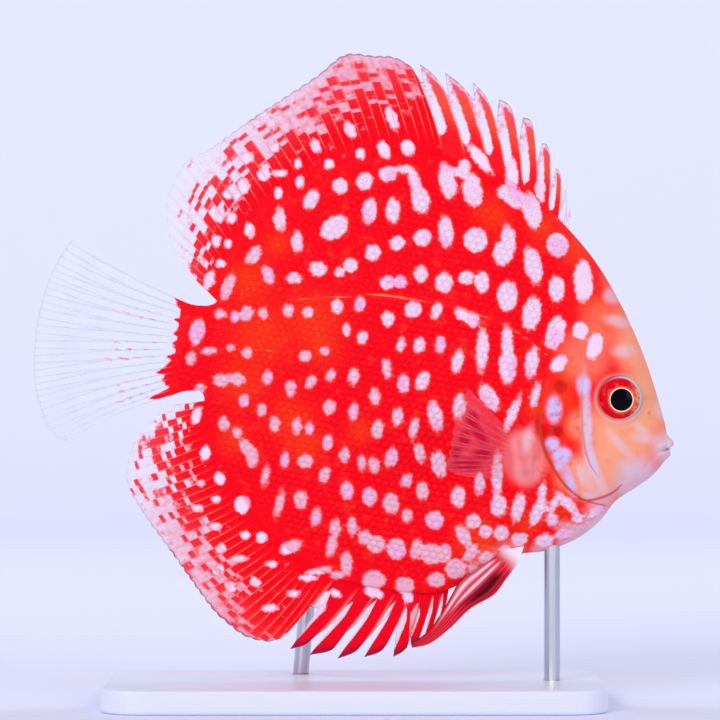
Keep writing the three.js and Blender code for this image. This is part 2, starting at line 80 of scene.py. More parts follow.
EYE = dict(x=65.6, z=76.5, radius=5.7, depth=3.6, sunk=1.5, pupil=2.75)
NOSTRIL = (73.4, 72.6)
MOUTH = dict(z=63.9, corner=(76.0, 63.2))

# Lines on the side of the head and trunk
GILL = [
    (54.8, 119.5), (52.8, 101.0), (51.0, 88.5), (47.8, 80.5), (45.8, 73.5), (46.0, 67.5), (48.0, 61.5),
    (52.0, 55.0), (57.2, 50.8), (64.5, 46.5),
]
GILL_SLIT = [
    (48.6, 82.5), (46.4, 77.0), (45.8, 72.0), (46.3, 66.5), (48.2, 61.3), (52.0, 55.3), (57.0, 51.3),
    (62.5, 49.8),
]
CHEEK_LINE = [(56.4, 81.0), (56.2, 75.0), (56.6, 67.0), (58.2, 60.6), (61.0, 56.4)]
COVER_ARC = [(54.5, 51.6), (58.0, 51.2), (61.5, 51.9), (64.5, 53.2), (66.5, 55.0)]
JAW_LINE = [(76.0, 63.2), (73.6, 60.8), (71.6, 57.6)]
LATERAL_LINE = [
    (-16.0, 101.0), (-8.0, 101.3), (0.0, 101.9), (7.0, 102.1), (14.0, 101.1), (22.0, 99.9), (30.0, 97.3),
    (37.0, 94.8), (43.0, 91.0), (48.8, 86.2),
]
LATERAL_REAR = [(-40.0, 88.5), (-30.0, 88.7), (-20.0, 88.2), (-6.0, 87.9)]
# Thin lines coloured on the skin: points, half width, colour name
TRACES = [
    (LATERAL_LINE, 0.42, "trace"), (LATERAL_REAR, 0.26, "trace"), (GILL_SLIT, 0.5, "rim"),
    # The shade line along the cheek's edge is painted shade, where the raised cheek plate steps down to the
    # gill cover
    (COVER_ARC, 0.5, "rim"), (CHEEK_LINE, 0.42, "shade"),
]

# Pale spots on the flank, read one by one: x, z, half width, half height, lean of the top towards the head
SPOTS = [
    (-10.7, 126.0, 1.7, 2.6, 25), (-3.5, 129.3, 1.9, 1.9, 0), (2.7, 130.5, 2.0, 2.2, 20),
    (8.5, 132.3, 2.1, 1.9, 0), (12.5, 133.5, 2.4, 1.0, 0), (15.2, 130.2, 1.3, 3.6, -15),
    (16.6, 125.8, 2.2, 3.3, -10), (-4.8, 118.9, 2.6, 3.7, 55), (3.8, 123.0, 1.7, 3.1, 10),
    (9.7, 123.1, 1.7, 3.2, 0), (-18.5, 121.0, 1.4, 2.9, -5), (-14.1, 115.3, 1.3, 2.6, -3),
    (-25.0, 112.0, 1.5, 2.4, 35), (-21.3, 107.0, 1.3, 2.2, -20), (-14.8, 106.3, 1.9, 1.3, 0),
    (-8.9, 108.6, 2.1, 1.8, 0), (-0.8, 109.6, 1.7, 1.7, 0), (-3.4, 107.8, 1.3, 1.2, 0),
    (4.7, 112.6, 1.9, 2.0, 0), (8.3, 105.2, 1.8, 1.7, 0), (11.5, 105.4, 1.5, 1.5, 0),
    (10.7, 114.9, 1.9, 1.6, -20), (-31.5, 104.3, 1.4, 3.3, 20), (-33.4, 97.5, 1.4, 1.1, 0),
    (-29.5, 96.8, 1.3, 1.3, 0), (-26.6, 97.6, 1.5, 1.8, 20), (-22.5, 97.5, 1.1, 1.4, 0),
    (-16.3, 98.2, 1.2, 1.6, 0), (-11.4, 97.8, 1.4, 1.4, 0), (-4.1, 99.2, 1.4, 1.8, 0),
    (1.4, 99.8, 1.3, 1.9, 10), (8.4, 96.2, 1.5, 1.8, 0), (-1.8, 93.6, 1.0, 1.5, -10),
    (2.1, 91.5, 1.2, 1.7, 0), (-39.2, 93.0, 1.8, 3.3, 12), (-36.0, 88.2, 1.8, 0.9, 0),
    (-30.5, 89.0, 1.0, 0.9, 0), (-26.5, 87.8, 1.2, 1.3, 0), (-12.1, 87.0, 1.5, 1.3, 0),
    (-7.3, 88.3, 1.2, 0.9, 0), (-40.6, 86.4, 1.2, 1.6, 0), (17.0, 116.3, 2.1, 2.0, -20),
    (22.8, 117.8, 1.8, 3.9, -5), (30.2, 115.8, 2.9, 3.0, 0), (38.3, 115.5, 1.7, 3.9, 0),
    (37.0, 112.6, 2.4, 3.2, 15), (44.4, 109.5, 2.0, 4.6, -12), (50.6, 114.6, 2.7, 3.0, 0),
    (50.2, 103.6, 1.9, 3.2, 0), (57.0, 105.5, 2.3, 5.2, 0), (56.0, 93.3, 1.9, 2.1, 0),
    (49.8, 92.6, 2.3, 4.1, 15), (43.9, 97.5, 2.2, 4.1, 12), (38.0, 101.8, 2.5, 3.7, 5),
    (31.7, 105.2, 1.7, 2.6, 0), (27.8, 106.4, 1.8, 1.6, -30), (22.3, 105.2, 2.1, 2.5, 0),
    (16.6, 107.3, 1.6, 2.0, 0), (14.6, 98.4, 1.8, 2.1, 55), (20.4, 98.2, 1.2, 2.0, 25),
    (26.8, 97.3, 1.4, 2.0, -55), (29.3, 96.0, 1.7, 1.9, -30), (31.7, 88.6, 1.5, 5.3, 3),
    (38.0, 84.6, 2.1, 4.4, 0), (37.9, 90.3, 1.4, 4.1, 0), (43.9, 85.2, 1.6, 3.8, 8),
    (11.6, 89.8, 1.0, 1.7, 15), (16.1, 89.6, 1.4, 1.9, 15), (21.3, 89.8, 1.3, 2.0, 0),
    (25.6, 85.8, 1.5, 2.7, 15), (50.6, 85.0, 1.6, 2.4, 50), (12.2, 80.2, 1.4, 2.2, 0),
    (17.0, 80.8, 1.6, 2.4, 20), (8.2, 83.8, 1.1, 2.2, -12), (23.3, 130.6, 2.0, 4.4, -12),
    (29.5, 128.3, 2.4, 4.2, -8), (26.3, 132.7, 3.4, 1.1, 10), (38.0, 127.8, 2.3, 1.8, 0),
    (40.2, 126.3, 2.2, 3.2, -60), (44.3, 123.3, 2.2, 4.5, -12), (-33.0, 81.0, 2.0, 1.6, 10),
    (-29.3, 81.2, 2.0, 1.5, 10), (-38.5, 78.9, 1.2, 1.6, 40), (-27.3, 76.0, 1.1, 1.6, 10),
    (-23.0, 73.6, 1.1, 1.5, 0), (-21.5, 81.6, 1.2, 1.7, 15), (-15.7, 79.0, 1.3, 1.8, 0),
    (-10.6, 80.6, 1.2, 1.7, 30), (-5.8, 82.2, 1.1, 1.7, 25), (-0.1, 81.9, 1.3, 2.0, 15),
    (5.2, 76.8, 1.3, 2.1, -10), (-6.2, 74.3, 1.4, 1.8, 15), (-0.1, 73.1, 1.2, 2.1, 10),
    (5.8, 68.8, 1.4, 2.2, 15), (-32.4, 70.2, 1.3, 1.8, -10), (-29.0, 68.0, 1.2, 1.2, 0),
    (-26.9, 64.3, 1.4, 2.1, -30), (-25.3, 61.8, 1.4, 2.4, 0), (-19.7, 70.0, 1.3, 1.9, 0),
    (-14.2, 69.7, 1.2, 1.9, 0), (-11.1, 69.0, 1.0, 1.7, 0), (-6.5, 65.6, 1.3, 1.9, 15),
    (-17.2, 61.3, 1.0, 2.1, 8), (-12.1, 60.9, 1.8, 1.7, 0), (-2.4, 62.5, 1.2, 1.8, 0),
    (2.0, 60.5, 0.9, 1.8, 0), (5.0, 60.0, 1.2, 1.9, -10), (-7.3, 57.4, 1.2, 2.1, 15),
    (-22.0, 57.1, 0.9, 2.4, 10), (-18.6, 50.3, 1.0, 3.4, 12), (-13.2, 51.3, 1.6, 2.3, 0),
    (-27.9, 49.9, 1.9, 2.1, 0), (-1.7, 53.5, 1.6, 2.1, 0), (3.9, 52.1, 1.7, 2.2, 0),
    (-9.4, 46.8, 1.3, 2.3, 8), (-4.6, 44.2, 1.3, 2.2, 0), (-5.5, 40.0, 1.2, 2.7, 15),
    (-0.5, 44.8, 1.1, 2.2, 0), (2.7, 41.8, 1.5, 1.9, 0), (5.4, 40.2, 2.3, 2.2, 0),
    (10.6, 39.0, 2.3, 2.6, 0), (-15.7, 39.3, 1.5, 2.9, 65), (-1.9, 35.2, 1.4, 3.0, 0),
    (-4.0, 32.2, 1.8, 0.9, 0), (5.0, 31.2, 2.8, 2.3, 0), (9.2, 50.4, 1.9, 2.6, 0),
    (9.3, 61.8, 1.5, 2.4, 15), (10.8, 72.0, 1.3, 2.3, 5), (14.8, 69.2, 1.0, 2.6, 10),
    (16.3, 63.0, 1.2, 2.3, -12), (20.1, 72.0, 1.7, 3.8, -10), (26.0, 74.6, 1.5, 3.4, 5),
    (21.0, 60.3, 1.7, 3.2, -10), (13.0, 56.2, 1.3, 1.8, 20), (16.9, 53.4, 1.4, 2.2, 0),
    (13.2, 47.3, 1.3, 1.7, 0), (20.0, 46.3, 2.2, 2.2, 0), (25.8, 52.0, 1.7, 2.6, 0),
    (31.1, 55.4, 1.3, 2.6, 0), (29.6, 46.0, 1.7, 1.9, 0), (32.7, 43.3, 1.5, 1.7, 0),
    (36.6, 43.0, 1.8, 1.9, 0), (35.4, 57.5, 1.3, 5.2, 0), (35.8, 50.0, 1.9, 2.8, 0),
    (40.8, 49.5, 1.5, 3.6, 12), (45.6, 48.5, 1.5, 3.6, 25), (41.2, 41.3, 2.0, 1.7, 0),
    (47.5, 41.0, 2.4, 1.6, -15), (49.3, 46.3, 1.5, 1.5, 0), (33.4, 76.8, 1.9, 3.6, -35),
    (39.1, 72.8, 1.1, 4.5, 22), (44.8, 77.4, 1.0, 2.8, 15), (15.5, 39.0, 1.3, 2.4, 15),
    (19.3, 37.8, 2.8, 2.6, 10), (22.4, 38.0, 1.9, 2.3, 0), (25.3, 34.0, 2.5, 2.5, 0),
    (12.6, 29.8, 2.3, 2.0, 0), (20.5, 31.2, 2.2, 1.8, 0), (59.6, 89.5, 1.8, 3.4, 20),
    (52.7, 50.6, 1.2, 3.8, -45), (52.3, 42.6, 2.2, 1.2, -10), (46.6, 53.4, 1.0, 2.4, 12),
    (27.2, 42.3, 1.4, 3.0, -30), (29.0, 38.0, 1.3, 2.4, 35), (33.2, 36.6, 2.4, 1.5, 10),
    (30.6, 33.2, 2.6, 1.2, 35), (37.6, 38.6, 1.5, 1.3, 0), (60.0, 48.2, 2.4, 1.0, -35),
    (55.6, 46.6, 1.3, 1.2, 0), (49.8, 50.6, 0.9, 2.6, 25),
]
# Soft-edged pale marks of the forehead, cheek and throat
SOFT = [
    (67.2, 88.2, 2.8, 1.4, 0), (65.6, 95.6, 3.1, 1.2, 12), (64.6, 102.0, 2.4, 1.9, 0),
    (65.5, 65.4, 0.9, 3.6, -42), (71.3, 68.6, 0.8, 2.4, -50), (57.6, 66.0, 1.0, 11.0, -4),
    (60.2, 57.6, 1.0, 3.4, -25), (69.8, 58.4, 3.6, 1.2, 25), (56.5, 57.5, 1.2, 3.0, -20),
    (43.0, 66.6, 0.9, 2.6, 15), (58.0, 52.2, 2.0, 1.1, 10), (55.5, 43.5, 5.0, 1.8, 15),
    (72.5, 66.5, 3.2, 0.9, 10),
]
# Crimson streaks of the fleshy pad of the pectoral fin
PAD_STREAKS = [(41.6, 62.5, 0.9, 6.0, -12), (44.6, 60.5, 0.7, 4.6, 10), (38.6, 61.5, 0.7, 3.6, -5)]
# Lavender marks on the gill cover, and the soft lavender stripe down the edge of the cheek
LAVENDER = [
    (49.4, 73.8, 1.8, 3.1, 0), (49.0, 65.2, 1.6, 1.6, 0), (51.4, 62.4, 2.3, 2.0, 0),
    (53.2, 56.4, 1.0, 3.8, -22), (50.6, 59.8, 1.0, 1.2, 0), (56.7, 79.8, 1.6, 2.5, 0),
]
STRIPE = [(57.8, 71.0, 0.6, 8.0, -3), (59.0, 61.0, 0.8, 4.0, -14)]
# Darker red marks, and patches of the skin that turn orange, the second with how wide they fade
DARK = [
    (49.8, 68.4, 1.9, 1.4, 0), (47.2, 66.5, 0.7, 3.5, -10), (51.0, 79.5, 1.6, 1.6, 0),
    (45.4, 70.2, 0.5, 2.0, 0),
]
ORANGE = [
    (-26.0, 106.0, 5.0), (-23.0, 92.0, 7.0), (-10.0, 96.0, 6.0), (-15.5, 71.0, 5.0), (-12.0, 64.0, 4.0),
    (34.5, 122.0, 4.0), (47.0, 118.5, 3.5), (55.0, 113.0, 3.5), (60.5, 100.0, 4.5), (63.0, 93.0, 4.0),
    (45.0, 74.0, 2.5), (54.0, 84.0, 3.5), (33.0, 41.0, 4.5), (43.0, 45.0, 3.0), (-28.0, 80.0, 5.0),
    (1.5, 68.5, 3.0), (-19.0, 115.0, 3.0), (52.5, 58.5, 2.5), (54.0, 68.0, 3.0), (-8.0, 89.0, 4.0),
    (51.5, 77.0, 5.0), (48.0, 61.0, 3.0), (-30.0, 66.0, 3.5),
]
# Peach and pink of the head, chest and belly: x, z, radius, strength, colour name
WASHES = [
    (76.0, 78.0, 13.0, 0.95, "peach"), (67.0, 68.0, 14.0, 0.95, "peach"), (62.0, 58.0, 10.0, 0.9, "peach"),
    (71.0, 89.0, 9.0, 0.85, "peach"), (69.5, 97.0, 6.5, 0.5, "peach"), (66.0, 106.0, 6.0, 0.25, "peach"),
    (55.0, 57.0, 7.0, 0.7, "peach"), (56.0, 70.0, 5.0, 0.55, "peach"), (57.0, 87.0, 9.0, 0.4, "peach"),
    (62.0, 95.0, 8.0, 0.3, "peach"), (42.5, 62.0, 8.0, 0.6, "salmon"), (52.0, 49.0, 7.0, 0.5, "orange"),
    (71.0, 55.5, 9.0, 0.9, "blush"), (79.0, 64.0, 6.5, 0.95, "blush"), (62.5, 44.5, 8.5, 0.95, "blush"),
    (55.0, 40.0, 6.0, 0.85, "blush"), (41.8, 65.5, 4.5, 0.8, "salmon"), (42.8, 58.5, 5.0, 0.8, "salmon"),
    (33.0, 34.0, 7.0, 0.7, "salmon"), (39.0, 37.0, 5.5, 0.7, "salmon"), (29.0, 41.0, 7.0, 0.5, "orange"),
    (77.5, 74.0, 4.0, 0.7, "blush"), (61.5, 52.0, 4.5, 0.5, "blush"), (47.0, 38.0, 4.0, 0.7, "blush"),
]

# Spiny lappets, front to back: base x, then shoulder, crest, tip and notch as x, z
DORSAL_LAPPETS = [
    (53.9, (54.1, 122.2), (54.1, 123.5), (54.0, 124.3), (53.3, 120.8)),
    (52.9, (53.2, 126.0), (53.1, 127.8), (52.8, 128.5), (51.9, 124.2)),
    (51.4, (51.8, 131.0), (51.3, 133.2), (50.5, 134.0), (49.2, 129.0)),
    (48.9, (49.0, 137.2), (48.2, 139.8), (47.0, 140.2), (45.6, 134.5)),
    (46.0, (45.0, 143.0), (44.0, 146.0), (42.2, 146.7), (41.0, 138.5)),
    (42.5, (40.0, 146.8), (38.5, 150.0), (36.2, 151.2), (35.7, 144.8)),
    (38.5, (34.2, 149.5), (32.5, 152.5), (29.8, 155.5), (30.0, 151.0)),
    (34.0, (28.5, 152.8), (26.0, 155.5), (22.8, 157.8), (23.6, 152.0)),
    (28.5, (22.3, 154.2), (20.0, 157.2), (16.5, 160.0), (17.3, 155.5)),
]
DORSAL_CLOSING = (22.65, (16.25, 155.5))
ANAL_LAPPETS = [
    (24.2, (22.4, 22.6), (21.9, 20.4), (21.0, 19.0), (22.0, 26.4)),
    (22.2, (19.7, 19.2), (19.0, 17.0), (17.5, 15.7), (19.2, 25.4)),
    (20.0, (16.9, 18.0), (15.8, 15.8), (14.2, 14.7), (14.0, 22.8)),
    (17.2, (13.6, 15.4), (12.3, 13.2), (9.8, 11.8), (10.8, 20.0)),
    (14.4, (8.6, 15.6), (6.4, 13.0), (2.5, 11.7), (9.0, 22.6)),
    (10.8, (3.0, 16.0), (0.2, 13.0), (-4.2, 11.3), (3.4, 22.4)),
    (6.6, (-3.0, 17.0), (-5.6, 13.5), (-11.2, 12.2), (-4.2, 20.8)),
    (2.2, (-9.0, 17.5), (-12.2, 14.8), (-16.0, 13.7), (-9.0, 23.8)),
]
ANAL_CLOSING = (-4.75, (-11.3, 24.4))
DORSAL_SOFT = [
    (22.8, (16.2, 156.3)), (21.2, (14.0, 159.6)), (18.6, (9.8, 161.8)), (13.5, (5.0, 162.1)),
    (6.5, (-2.5, 162.3)), (-0.6, (-10.0, 156.6)), (-13.5, (-24.6, 147.0)), (-23.0, (-35.4, 139.3)),
    (-28.4, (-42.6, 135.0)), (-31.6, (-46.8, 125.6)), (-33.4, (-45.4, 113.8)), (-34.3, (-40.8, 106.8)),
]
ANAL_SOFT = [
    (-4.6, (-13.8, 21.6)), (-5.6, (-16.8, 17.6)), (-7.5, (-21.0, 15.6)), (-10.0, (-27.2, 16.9)),
    (-13.0, (-32.2, 20.6)), (-15.6, (-36.0, 24.4)), (-24.0, (-44.2, 35.8)), (-30.5, (-52.8, 47.8)),
    (-33.6, (-56.2, 53.8)), (-35.3, (-56.9, 58.2)), (-36.6, (-55.2, 65.0)), (-37.1, (-51.5, 70.0)),
    (-37.3, (-46.5, 74.8)),
]
CAUDAL_TIPS = [
    (-70.5, 116.3), (-74.8, 109.5), (-77.2, 103.4), (-79.1, 95.8), (-80.0, 88.0), (-79.9, 80.8),
    (-78.5, 74.4), (-75.6, 68.0), (-72.0, 65.8),
]
# Where the red runs out along the tail fin: how far, place from top to bottom, and how wide
CAUDAL_RED = [(0.08, 0.74, 0.12), (0.1, 0.0, 0.04), (0.16, 0.97, 0.05)]
PECTORAL_BASE = [(39.8, 67.0), (36.6, 56.6)]
PECTORAL_TIPS = [
    (27.6, 79.4), (25.2, 74.2), (23.9, 68.6), (23.2, 63.6), (22.5, 60.4), (24.6, 58.2), (29.5, 57.0),
]
PECTORAL_REACH = [15, 17, 18, 18, 17, 14, 8]
PELVIC_LEADING = [
    (42.4, 39.6), (41.0, 35.8), (37.8, 31.2), (34.8, 27.4), (29.0, 24.0), (24.0, 19.2), (19.0, 15.4),
    (14.4, 14.2),
]
PELVIC_TRAILING = [
    (37.0, 38.6), (33.8, 36.0), (30.2, 33.4), (26.6, 30.6), (24.2, 26.6), (22.0, 22.8), (18.8, 18.2),
    (14.6, 15.0),
]
# How far out the clear blocks start and the fin is clear, from the front to the rear of each soft fin
DORSAL_OPENS = [0.68, 0.42, 0.34, 0.27, 0.2, 0.17, 0.16]
DORSAL_CLEAR = [1.5, 1.2, 1.12, 1.08, 1.02, 0.96, 0.92]
ANAL_OPENS = [0.8, 0.68, 0.5, 0.36, 0.26, 0.2, 0.18]
ANAL_CLEAR = [1.6, 1.4, 1.24, 1.14, 1.08, 1.02, 0.98]
# Length of a block along its ray, in mm
BLOCK = 1.2
# Rays of each fin, and how deep the roots of the upright fins stand in the flesh
DORSAL_RAYS = 36
ANAL_RAYS = 35
CAUDAL_RAYS = 17
PECTORAL_RAYS = 13
PELVIC_RAYS = 7
ROOT_SUNK = 0.9
# Scales: spacing along a row and from row to row in mm, the slope of the rows, the place that they are
# counted from, and corners of one plate
SCALE_ALONG = 1.9
SCALE_UP = 1.55
SCALE_SLOPE = math.radians(-11.5)
SCALE_MIDDLE = (8.0, 84.0)
SCALE_CORNERS = 10
# Crimson stains of the pectoral fin, and pale marks on the upright fins, as on the flank
PECTORAL_STAINS = [
    (29.0, 71.0, 1.8, 2.6, 0), (27.0, 66.8, 1.6, 2.4, 10), (31.5, 63.0, 2.6, 1.5, 0),
    (27.5, 60.4, 4.0, 1.8, 0), (30.5, 68.0, 1.4, 3.5, -40), (25.0, 63.5, 1.4, 1.8, 0),
]
SPINE_MARKS = [
    (31.5, 136.3, 1.4, 4.4, -37), (39.4, 132.0, 1.5, 4.2, 0), (46.6, 128.6, 1.2, 3.0, 0),
    (27.6, 134.5, 1.4, 1.6, 0),
]
ANAL_FRONT_MARKS = [
    (5.0, 27.8, 2.2, 1.2, 20), (13.5, 26.8, 1.2, 1.6, 0), (-4.5, 27.6, 1.4, 0.9, 30),
    (-8.4, 23.6, 0.8, 2.0, 40),
]
DORSAL_MARKS = [
    (-31.5, 115.0, 0.9, 1.2, 0), (-34.4, 115.8, 1.1, 1.5, 0), (-30.6, 121.4, 1.2, 1.3, 20),
    (-26.0, 118.4, 1.2, 1.8, -15), (-33.3, 110.0, 1.2, 1.0, 0), (-36.2, 106.0, 1.2, 2.4, 20),
    (-33.6, 122.4, 1.2, 2.0, 0), (-31.4, 127.5, 1.3, 1.2, 0), (-27.6, 129.5, 1.5, 1.8, 0),
    (-22.5, 132.4, 1.6, 1.6, 0), (-18.8, 127.6, 1.0, 1.4, 0), (-18.5, 132.6, 1.7, 0.9, 0),
    (-13.5, 130.4, 1.0, 1.5, 0), (-14.0, 135.2, 0.9, 1.2, 0), (-6.3, 134.8, 1.3, 1.3, 0),
    (1.7, 137.4, 1.1, 1.4, 0), (7.4, 138.4, 1.4, 2.3, -25), (-9.6, 139.4, 1.1, 1.8, -25),
    (-27.0, 136.6, 2.0, 1.4, 0), (-20.6, 139.2, 1.9, 1.6, 0), (13.4, 139.0, 1.6, 2.0, -20),
    (-1.0, 143.5, 1.2, 2.0, -25), (9.5, 146.5, 1.2, 3.0, -20),
]
ANAL_MARKS = [
    (-33.6, 56.3, 1.3, 1.5, 0), (-37.2, 62.7, 1.2, 1.8, 15), (-39.3, 72.2, 1.2, 2.2, 20),
    (-34.3, 51.2, 1.1, 0.8, 0), (-39.0, 48.9, 1.2, 0.9, 0), (-34.6, 44.4, 1.5, 0.9, 0),
    (-33.3, 38.9, 1.2, 1.2, 0), (-28.6, 36.3, 1.9, 0.8, 0), (-27.2, 42.2, 1.1, 1.1, 0),
    (-23.0, 41.6, 1.4, 1.3, 0), (-20.6, 35.1, 1.4, 0.8, 0), (-24.6, 30.4, 1.3, 1.1, 40),
    (-30.8, 29.4, 1.5, 1.2, 0), (-34.0, 33.6, 1.4, 1.6, 0), (-15.2, 27.6, 1.6, 0.9, 0),
    (-21.0, 24.0, 1.8, 1.0, 0), (-8.2, 33.4, 3.0, 0.8, -10), (-11.4, 31.5, 1.8, 0.8, 0),
    (-38.2, 55.2, 0.9, 0.7, 0),
]
ALL_MARKS = SPOTS + DORSAL_MARKS + ANAL_MARKS + SPINE_MARKS + ANAL_FRONT_MARKS

# Grains of the materials: size in mm and detail. Pigment cells and pores are finer in life, and are drawn
# coarse enough to show
SKIN_GRAINS = {
    "scale": (1.4, 3.0), "blotch": (3.2, 3.0), "freckle": (1.6, 3.0), "cell": (0.5, 2.0), "pore": (0.35, 2.0),
}
FIN_GRAINS = {"crumb": (0.9, 4.0), "crinkle": (1.2, 3.0), "dust": (1.5, 4.0)}
IRIS_GRAINS = {"fleck": (2.2, 3.0), "vein": (2.4, 3.0), "glint": (0.9, 3.0)}

CAMERA_PLACE = (0.0015, -1.0, 0.086)
LIT_MIDDLE = (0.0, 0.0, 0.085)


def linear(hex_code):
    """A #rrggbb colour as linear red, green, blue, alpha."""
    parts = [int(hex_code[i:i + 2], 16) / 255 for i in (1, 3, 5)]
    return tuple(c / 12.92 if c <= 0.04045 else ((c + 0.055) / 1.055) ** 2.4 for c in parts) + (1.0,)


def rgb(hex_code):
    """A #rrggbb colour as an array of linear red, green and blue."""
    return np.array(linear(hex_code)[:3])


# The colour shade is painted shade for the step at the cheek's edge
PAINT = {name: rgb(code) for name, code in {
    "red": "#ff0018", "orange": "#ff3a10", "peach": "#f5a27e", "blush": "#e2bfcc", "salmon": "#ee9a96",
    "lavender": "#c9beee", "dark": "#c0000c", "pale": "#f2d0e8", "rose": "#f3b0dc", "apricot": "#f2b2c6",
    "orbit": "#c3aeac", "trace": "#ff7a50", "rim": "#c8401e", "shade": "#c08a86", "crimson": "#d8506a",
}.items()}


# Curves and the body's form, in mm

def smooth(x, low, high):
    """0 below low, 1 above high and an S between them."""
    t = np.clip((x - low) / (high - low), 0, 1)
    return t * t * (3 - 2 * t)


def curve(points, t):
    """A smooth curve through points, at each t from 0 to 1, each span an equal share of t."""
    p = np.asarray(points, float)
    if p.ndim == 1:
        p = p[:, None]
    p = np.vstack([2 * p[0] - p[1], p, 2 * p[-1] - p[-2]])
    t = np.clip(np.asarray(t, float), 0, 1)
    spans = len(p) - 3
    i = np.minimum((t * spans).astype(int), spans - 1)
    w = (t * spans - i)[..., None]
    a, b, c, d = p[i], p[i + 1], p[i + 2], p[i + 3]
    square, cube = 2 * a - 5 * b + 4 * c - d, 3 * b - a - 3 * c + d
    out = 0.5 * (2 * b + (c - a) * w + square * w ** 2 + cube * w ** 3)
    return out[..., 0] if out.shape[-1] == 1 else out


def back(u):
    """x and z of the back at u, from the tail stalk at 0 to the snout at 1."""
    return curve(BODY[:, 0:2], u)


def belly(u):
    """x and z of the belly at u."""
    return curve(BODY[:, 2:4], u)


def half_width(u, v):
    """Half the body's width at u along it and v from back to belly."""
    widest = curve(BODY[:, 4], u)
    fullness = curve(BODY[:, 5], u) + LEANER
    on_back = EDGE_FINNED + (EDGE_BARE - EDGE_FINNED) * smooth(back(u)[..., 0], NAPE - 3, NAPE + 3)
    on_belly = EDGE_FINNED + (EDGE_BARE - EDGE_FINNED) * smooth(belly(u)[..., 0], VENT - 3, VENT + 3)
    edge = np.minimum(on_back * (1 - v) + on_belly * v, widest)
    return edge + (widest - edge) * np.clip(4 * v * (1 - v), 0, 1) ** fullness


def place_of(x, z):
    """u and v of the body line through points in side view."""
    low, high = np.zeros_like(x), np.ones_like(x)
    for _ in range(24):
        u = (low + high) / 2
        a, b = back(u), belly(u)
        ahead = (b[..., 0] - a[..., 0]) * (z - a[..., 1]) - (b[..., 1] - a[..., 1]) * (x - a[..., 0]) > 0
        low, high = np.where(ahead, u, low), np.where(ahead, high, u)
    a, b = back(low), belly(low)
    d = b - a
    v = ((x - a[..., 0]) * d[..., 0] + (z - a[..., 1]) * d[..., 1]) / (d ** 2).sum(-1)
    return low, v


def off_line(x, z, points):
    """Distance to a line of points, the side of it (above 0 on its right), and how far along it, 0 to 1."""
    best = np.full(x.shape, 1e9)
    side, along = np.zeros(x.shape), np.zeros(x.shape)
    for k, (a, b) in enumerate(zip(points[:-1], points[1:])):
        dx, dz = b[0] - a[0], b[1] - a[1]
        t = np.clip(((x - a[0]) * dx + (z - a[1]) * dz) / (dx * dx + dz * dz), 0, 1)
        d = np.hypot(x - a[0] - t * dx, z - a[1] - t * dz)
        nearer = d < best
        best = np.where(nearer, d, best)
        side = np.where(nearer, np.sign(dz * (x - a[0]) - dx * (z - a[1])), side)
        along = np.where(nearer, (k + t) / (len(points) - 1), along)
    return best, side, along


def bump(d, width):
    """A round hill of height 1 where d is 0."""
    return np.exp(-(d / width) ** 2)


def relief(x, z):
    """How far the skin stands out of the plain form: gill cover, cheek, eye, nostril, mouth and fin pad."""
    d, side, along = off_line(x, z, GILL_SLIT)
    ends = smooth(along, 0.0, 0.12) * (1 - 0.6 * smooth(along, 0.85, 1.0))
    ahead = d * side * -1
    out = 0.55 * smooth(ahead, -0.15, 0.25) * (1 - smooth(ahead, 1.0, 9.0)) * ends * (x > 44)
    out -= 0.5 * bump(ahead + 0.5, 0.45) * ends
    d, side, along = off_line(x, z, CHEEK_LINE)
    ends = smooth(along, 0.0, 0.2) * (1 - smooth(along, 0.8, 1.0))
    out += 0.2 * smooth(-d * side, -0.3, 0.3) * (1 - smooth(d, 0.6, 4.0)) * ends
    out -= 0.12 * bump(d, 0.4) * smooth(along, 0.0, 0.15)
    r = np.hypot(x - EYE["x"], z - EYE["z"])
    out += 0.55 * bump(r - 6.05, 0.55) - 2.6 * (1 - smooth(r, 4.4, 5.55))
    out += 0.3 * bump(r - 6.0, 3.0) * (z > EYE["z"])
    r = np.hypot(x - NOSTRIL[0], z - NOSTRIL[1])
    out += 0.28 * bump(r - 0.85, 0.28) - 0.7 * bump(r, 0.42)
    d, side, along = off_line(x, z, JAW_LINE)
    out -= 0.14 * bump(d, 0.5) * (1 - smooth(along, 0.6, 1.0))
    corner_x, corner_z = MOUTH["corner"]
    slit = corner_z + (x - corner_x) * 0.28
    lips = bump(z - slit - 1.15, 0.75) + bump(z - slit + 1.15, 0.75)
    out -= 0.7 * bump(z - slit, 0.3) * smooth(x, corner_x - 0.3, corner_x + 1.2)
    out += 0.65 * lips * smooth(x, corner_x - 1.4, corner_x + 1.4)
    pad = np.hypot((x - 41.0) / 4.2, (z - 62.0) / 7.0)
    out += 0.8 * (1 - smooth(pad, 0.35, 1.0))
    return out


def flank(x, z):
    """The skin's y on the left side at points in side view, inside the body's outline."""
    u, v = place_of(x, z)
    return half_width(u, np.clip(v, 0, 1)) + relief(x, z)


# Markings

def mark_field(x, z, marks):
    """About the distance in mm inside the nearest mark's edge, below 0 outside all of them."""
    best = np.full(x.shape, -9.0)
    for mx, mz, wide, high, lean in marks:
        c, s = math.cos(math.radians(lean)), math.sin(math.radians(lean))
        across, up = (x - mx) * c - (z - mz) * s, (x - mx) * s + (z - mz) * c
        best = np.maximum(best, (1 - np.hypot(across / wide, up / high)) * min(wide, high))
    return best


def blend(base, top, share):
    """A grid of colours with another colour laid over it by a share from 0 to 1."""
    return base + (top - base) * np.clip(share, 0, 1)[..., None]


